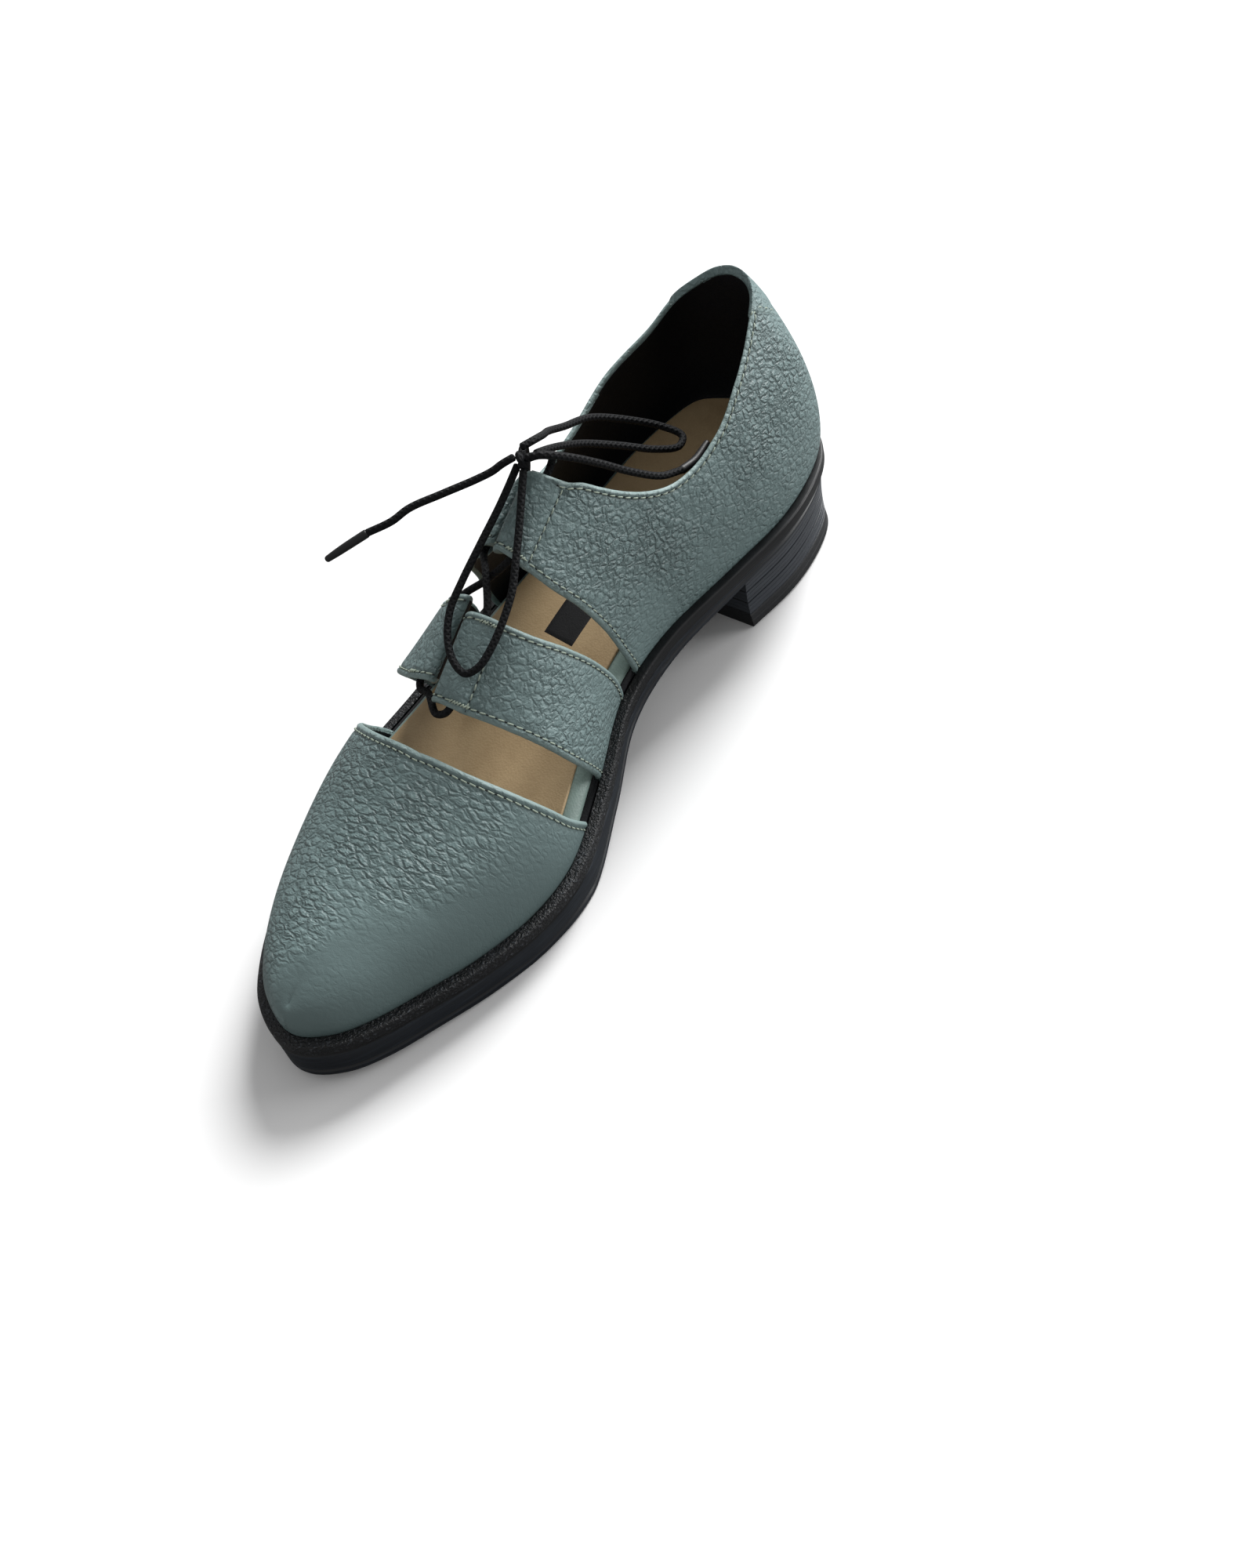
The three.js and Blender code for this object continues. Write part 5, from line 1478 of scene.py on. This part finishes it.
    def build(self) -> None:
        """All leather pieces and their stitches."""
        coarse, lasted, lining = SAGE_PEBBLED.build(), SAGE_LASTED.build(), BLACK_LINING.build()
        pieces = [self.quarters([coarse, lining]), self.strap(Side.MEDIAL, [coarse, lining]),
                  self.strap(Side.LATERAL, [coarse, lining]), self.vamp([lasted, lining]),
                  self.heel_tab([coarse])]
        for piece in pieces:
            seat(piece, "upper_leather")
        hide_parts("upper")
        seat(self.margin(lining), "upper_leather")
        thread = stitches(self.seams, 2.05, 0.46, 0.34, 0.07, slant=0.10)
        tacks = stitches(self.bars, 1.4, 0.5, 0.3, 0.16, slant=0.9)
        seat(make_piece("stitching", joined([thread, tacks]), [THREAD.build()]), "upper_leather")
        # Dark discs between the stitches: painted shade in the needle holes.
        holes = stitches(self.seams, 0.8, 0.42, 0.05, -0.12, shift=self.stitch_pitch / 2)
        seat(make_piece("needle_holes", holes, [NEEDLE_HOLE.build()]), "upper_leather")


@dataclass
class Bottom:
    """Everything under the foot: footbed, sock, label, welt, outsole, heel and top piece."""

    clearance: float = 0.3
    welt: float = 4.2
    tread: float = 2.8
    footbed: float = 4.2
    heel_reach: float = 60.3
    top_piece: float = 5.6
    welt_round: float = 0.7
    bed_slope: float = 3.8
    steps: int = 260
    across: int = 24

    def top_of_outsole(self, feather: Array) -> Array:
        """Height of the outsole's top under a feather height."""
        return feather - self.welt - self.clearance

    def plate(self, u: Array, offsets: Array, heights: Any, dish: Any = None, breast: bool = False,
              grooves: Array | None = None) -> Shell:
        """A closed plate between the two sides.

        Each side is a profile of offsets from the feather line and heights, from the top down. The
        top and bottom are straight lines between the sides, and the top may be dished.

        Args:
            u: Shares along the last, from the heel forward.
            offsets: Offsets of the profile's points.
            heights: Function of (feather height, outsole thickness) that gives their heights.
            dish: Function of (x, share across) that lowers the top.
            breast: Whether the front end is an open section that needs a face.
            grooves: For each point of the profile, the share of painted shade, 1 in the deepest groove and
                else 0.

        Returns:
            The closed shell.
        """
        sides = []
        for side in (1.0, -1.0):
            xy = LAST.rim(u[:, None], side, np.broadcast_to(offsets, (len(u), offsets.shape[-1])))
            feather, sole = LAST.level(xy[..., 0])
            sides.append(np.concatenate([xy, heights(feather, sole)[..., None]], -1))
        medial, lateral = sides
        t = np.linspace(0, 1, self.across)[None, 1:-1, None]
        under = mix(medial[:, -1:], lateral[:, -1:], t)
        over = mix(lateral[:, :1], medial[:, :1], t)
        if dish is not None:
            over[..., 2] -= dish(over[..., 0], t[..., 0])
        loop = np.concatenate([medial, under, lateral[:, ::-1], over], 1)
        rows, columns = loop.shape[:2]
        faces = grid_faces(rows, columns, wrap=True)
        if breast:
            k = np.arange(offsets.shape[-1] - 1)
            start = (rows - 1) * columns
            far = start + offsets.shape[-1] + self.across - 2 + offsets.shape[-1] - 1
            under_ends = np.stack([start + k, start + k + 1, far - k - 1, far - k], 1)
            faces = np.concatenate([faces, under_ends[:, ::-1]])
        marks = {}
        if grooves is not None:
            flat = np.zeros(self.across - 2)
            marks["groove"] = np.tile(np.concatenate([grooves, flat, grooves[::-1], flat]), rows)
        return Shell(loop.reshape(-1, 3), faces, marks=marks)

    def welt_ring(self) -> Shell:
        """The welt: a ring whose outer edge is rounded above and below."""
        turn, r = np.linspace(0, math.pi / 2, 5), self.welt_round

        def profile(width: Array) -> list[tuple[Any, float]]:
            """From the foot's edge out along the bottom, round the edge and back along the top."""
            low = [(width - r + r * math.sin(t), self.welt - r + r * math.cos(t)) for t in turn]
            top = [(width - r + r * math.cos(t), r - r * math.sin(t)) for t in turn]
            return [(self.clearance, self.welt), *low, *top, (self.clearance, 0.0)]

        return rim_ring(self.steps, profile)

    def outsole(self) -> Shell:
        """The outsole with painted shade in a groove under the welt and in another over the tread."""
        u = np.linspace(0, 1, self.steps)
        width = np.mean([LAST.line(u, side)[0][:, SOLE_WIDTH] for side in (1.0, -1.0)], axis=0)[:, None]
        # (offset from the edge or None for the feather line, weight of the top, of the tread line, of
        # the base, and millimetres up)
        profile = [(None, 1, 0, 0, 2.7), (None, 1, 0, 0, 0), (-0.8, 1, 0, 0, 0), (-0.8, 1, 0, 0, -0.45),
                   (-0.5, 1, 0, 0, -0.7), (-0.12, 1, 0, 0, -0.9), (0, 1, 0, 0, -1.2)]
        profile += [(0, 0, 1, 0, 0.7), (-0.25, 0, 1, 0, 0.35), (-0.6, 0, 1, 0, 0), (-0.25, 0, 1, 0, -0.35),
                    (0, 0, 1, 0, -0.7), (0, 0, 0, 1, 0.8), (-0.2, 0, 0, 1, 0.25), (-0.8, 0, 0, 1, 0)]
        offsets = np.concatenate([0 * width if p[0] is None else width + p[0] for p in profile], 1)
        weights = np.array([p[1:] for p in profile], float)

        def heights(feather: Array, sole: Array) -> Array:
            """Weighted sum of the top, the tread line and the base."""
            top = self.top_of_outsole(feather)
            base = np.maximum(0, top - sole)
            tread = base + np.minimum(self.tread, (top - base) * 0.4)
            return weights[:, 0] * top + weights[:, 1] * tread + weights[:, 2] * base + weights[:, 3]

        # Painted shade in the groove under the welt and in the one over the tread.
        grooves = np.array([0, 0, 1, 1, 1, 0, 0, 0, 0.6, 1, 0.6, 0, 0, 0, 0], float)
        return self.plate(u, offsets, heights, grooves=grooves)

    @staticmethod
    def heel_out(share: Array) -> Array:
        """How far the heel stands out: 0.1 - 0.9 sin(pi s) - 0.5 (1 - s)^2 over its height s."""
        return 0.1 - 0.9 * np.sin(math.pi * share) - 0.5 * (1 - share) ** 2

    def heel_u(self) -> Array:
        """Shares along the last from the back of the heel to its breast."""
        u = np.linspace(0, 0.5, 2001)
        return np.linspace(0, u[np.argmax(LAST.line(u, 1.0)[0][:, 0] >= self.heel_reach)], 90)

    def heel(self) -> Shell:
        """Three stacked lifts with a groove between, each with two faint lines of its own."""
        shares, insets = [], []
        for k in (3, 2, 1):
            high, low = k / 3, (k - 1) / 3
            marks = [(high, 0.0 if k == 3 else 0.7), *((mix(high, low, s), w) for s, w in (
                (0.035, 0.7), (0.065, 0.0), (0.32, 0.0), (0.335, 0.3), (0.35, 0.3), (0.365, 0.0),
                (0.66, 0.0), (0.675, 0.25), (0.69, 0.25), (0.705, 0.0), (0.935, 0.0), (0.965, 0.7)))]
            shares += [m[0] for m in marks]
            insets += [m[1] for m in marks]
        shares.append(0.0)
        insets.append(0.0)
        share, inset = np.array(shares), np.array(insets)
        base = self.top_piece + self.clearance

        def heights(feather: Array, sole: Array) -> Array:
            """Share of the way from the top piece to the outsole."""
            top = np.maximum(0, self.top_of_outsole(feather) - sole) - self.clearance
            return mix(base, top, share)

        # The lines between and on the lifts get painted shade, as dark as they are deep.
        return self.plate(self.heel_u(), (self.heel_out(mix(0.3, 1, share)) - inset)[None], heights,
                          breast=True, grooves=np.minimum(inset * 2.2, 1.0))

    def top_piece_shell(self) -> Shell:
        """The heel's wearing layer with softened edges and one faint line."""
        profile = ((0.3, 0.4), (0.28, 0.0), (0.15, 0.0), (0.14, 0.14), (0.12, 0.0), (0.0, 0.0), (0.0, 0.25),
                   (0.0, 0.9))
        offsets = np.array([self.heel_out(share) - inset for share, inset in profile])
        z = np.array([self.top_piece, self.top_piece - 0.5, 3.1, 2.95, 2.8, 0.9, 0.3, 0.0])
        return self.plate(self.heel_u(), offsets[None], lambda feather, sole: z + 0 * feather, breast=True)

    def footbed_shell(self) -> Shell:
        """The wrapped bed, with a soft slope up to the sock."""
        wall = LAST.leather + self.clearance + 0.4
        t = np.array([1.0, 0.9, 0.74, 0.55, 0.36, 0.18, 0.06, 0.0, 0.0])
        rise = np.array([1.0, 0.985, 0.93, 0.82, 0.66, 0.48, 0.34, 0.2, 0.0]) * self.footbed
        return self.plate(np.linspace(0, 1, self.steps), (-wall - self.bed_slope * t)[None],
                          lambda feather, sole: feather + self.clearance + rise)

    def sock_base(self, feather: Array) -> Array:
        """Height of the sock's underside."""
        return feather + self.footbed + 2 * self.clearance

    def sock_shell(self) -> Shell:
        """The sock, pressed down a little where the heel and the ball of a foot have stood."""
        edge = LAST.leather + self.clearance + self.bed_slope + 0.5
        offsets = -edge - np.array([0.5, 0.3, 0.1, 0.0, 0.0])
        z = np.array([1.0, 0.97, 0.85, 0.65, 0.0])

        def dish(x: Array, t: Array) -> Array:
            """Bells under the heel and the ball."""
            middle = np.sin(math.pi * t) ** 0.7
            return 0.3 * middle * (bump(x, 34, 24) + bump(x, 178, 26))

        return self.plate(np.linspace(0, 1, self.steps), offsets[None],
                          lambda feather, sole: self.sock_base(feather) + z, dish)

    def label_shell(self) -> Shell:
        """The label's bare field: a thin woven rectangle laid on the sock."""
        s, t = np.meshgrid(np.linspace(0, 1, 30), np.linspace(0, 1, 16), indexing="ij")
        back = mix(np.array([88.5, -9.4]), np.array([90.6, 2.3]), t[..., None])
        front = mix(np.array([112.4, -9.35]), np.array([113.4, 2.15]), t[..., None])
        xy = mix(back, front, s[..., None])
        feather, _ = LAST.level(xy[..., 0])
        rim = np.minimum(np.minimum(s, 1 - s) * 24, np.minimum(t, 1 - t) * 11.5)
        top = np.concatenate([xy, (self.sock_base(feather) + 1.0 + 0.22 * smooth(rim / 0.5))[..., None]], -1)
        low = top - [0, 0, 0.5]
        return Shell(np.concatenate([top.reshape(-1, 3), low.reshape(-1, 3)]), wall_faces(*s.shape))

    def build(self) -> None:
        """All pieces of the bottom in their places."""
        wrap = make_piece("footbed_wrap", self.footbed_shell(), [SAGE_WRAP.build()])
        seat(wrap, "upper_leather", "footbed")
        seat(make_piece("sock", self.sock_shell(), [TAN_SOCK.build()]), "insole_leather", "insole")
        seat(make_piece("label_field", self.label_shell(), [BLACK_LABEL.build()]), "insole_leather")
        seat(make_piece("welt_strip", self.welt_ring(), [BLACK_WELT.build()]), "sole_edge", "welt")
        edge = BLACK_SOLE_EDGE.build()
        seat(make_piece("outsole_slab", self.outsole(), [edge], 30), "sole_edge", "outsole")
        seat(make_piece("heel_lifts", self.heel(), [BLACK_LIFTS.build()], 30), "sole_edge", "heel")
        seat(make_piece("heel_top_piece", self.top_piece_shell(), [TREAD.build()], 30), "tread", "top_piece")


def main() -> None:
    """Build the studio, the lace, the bottom and the upper."""
    logging.basicConfig(level=logging.INFO, format="%(name)s %(message)s")
    studio = Studio()
    studio.camera()
    Lace().build()
    Bottom().build()
    Upper().build()
    studio.build()


if __name__ == "__main__":
    main()
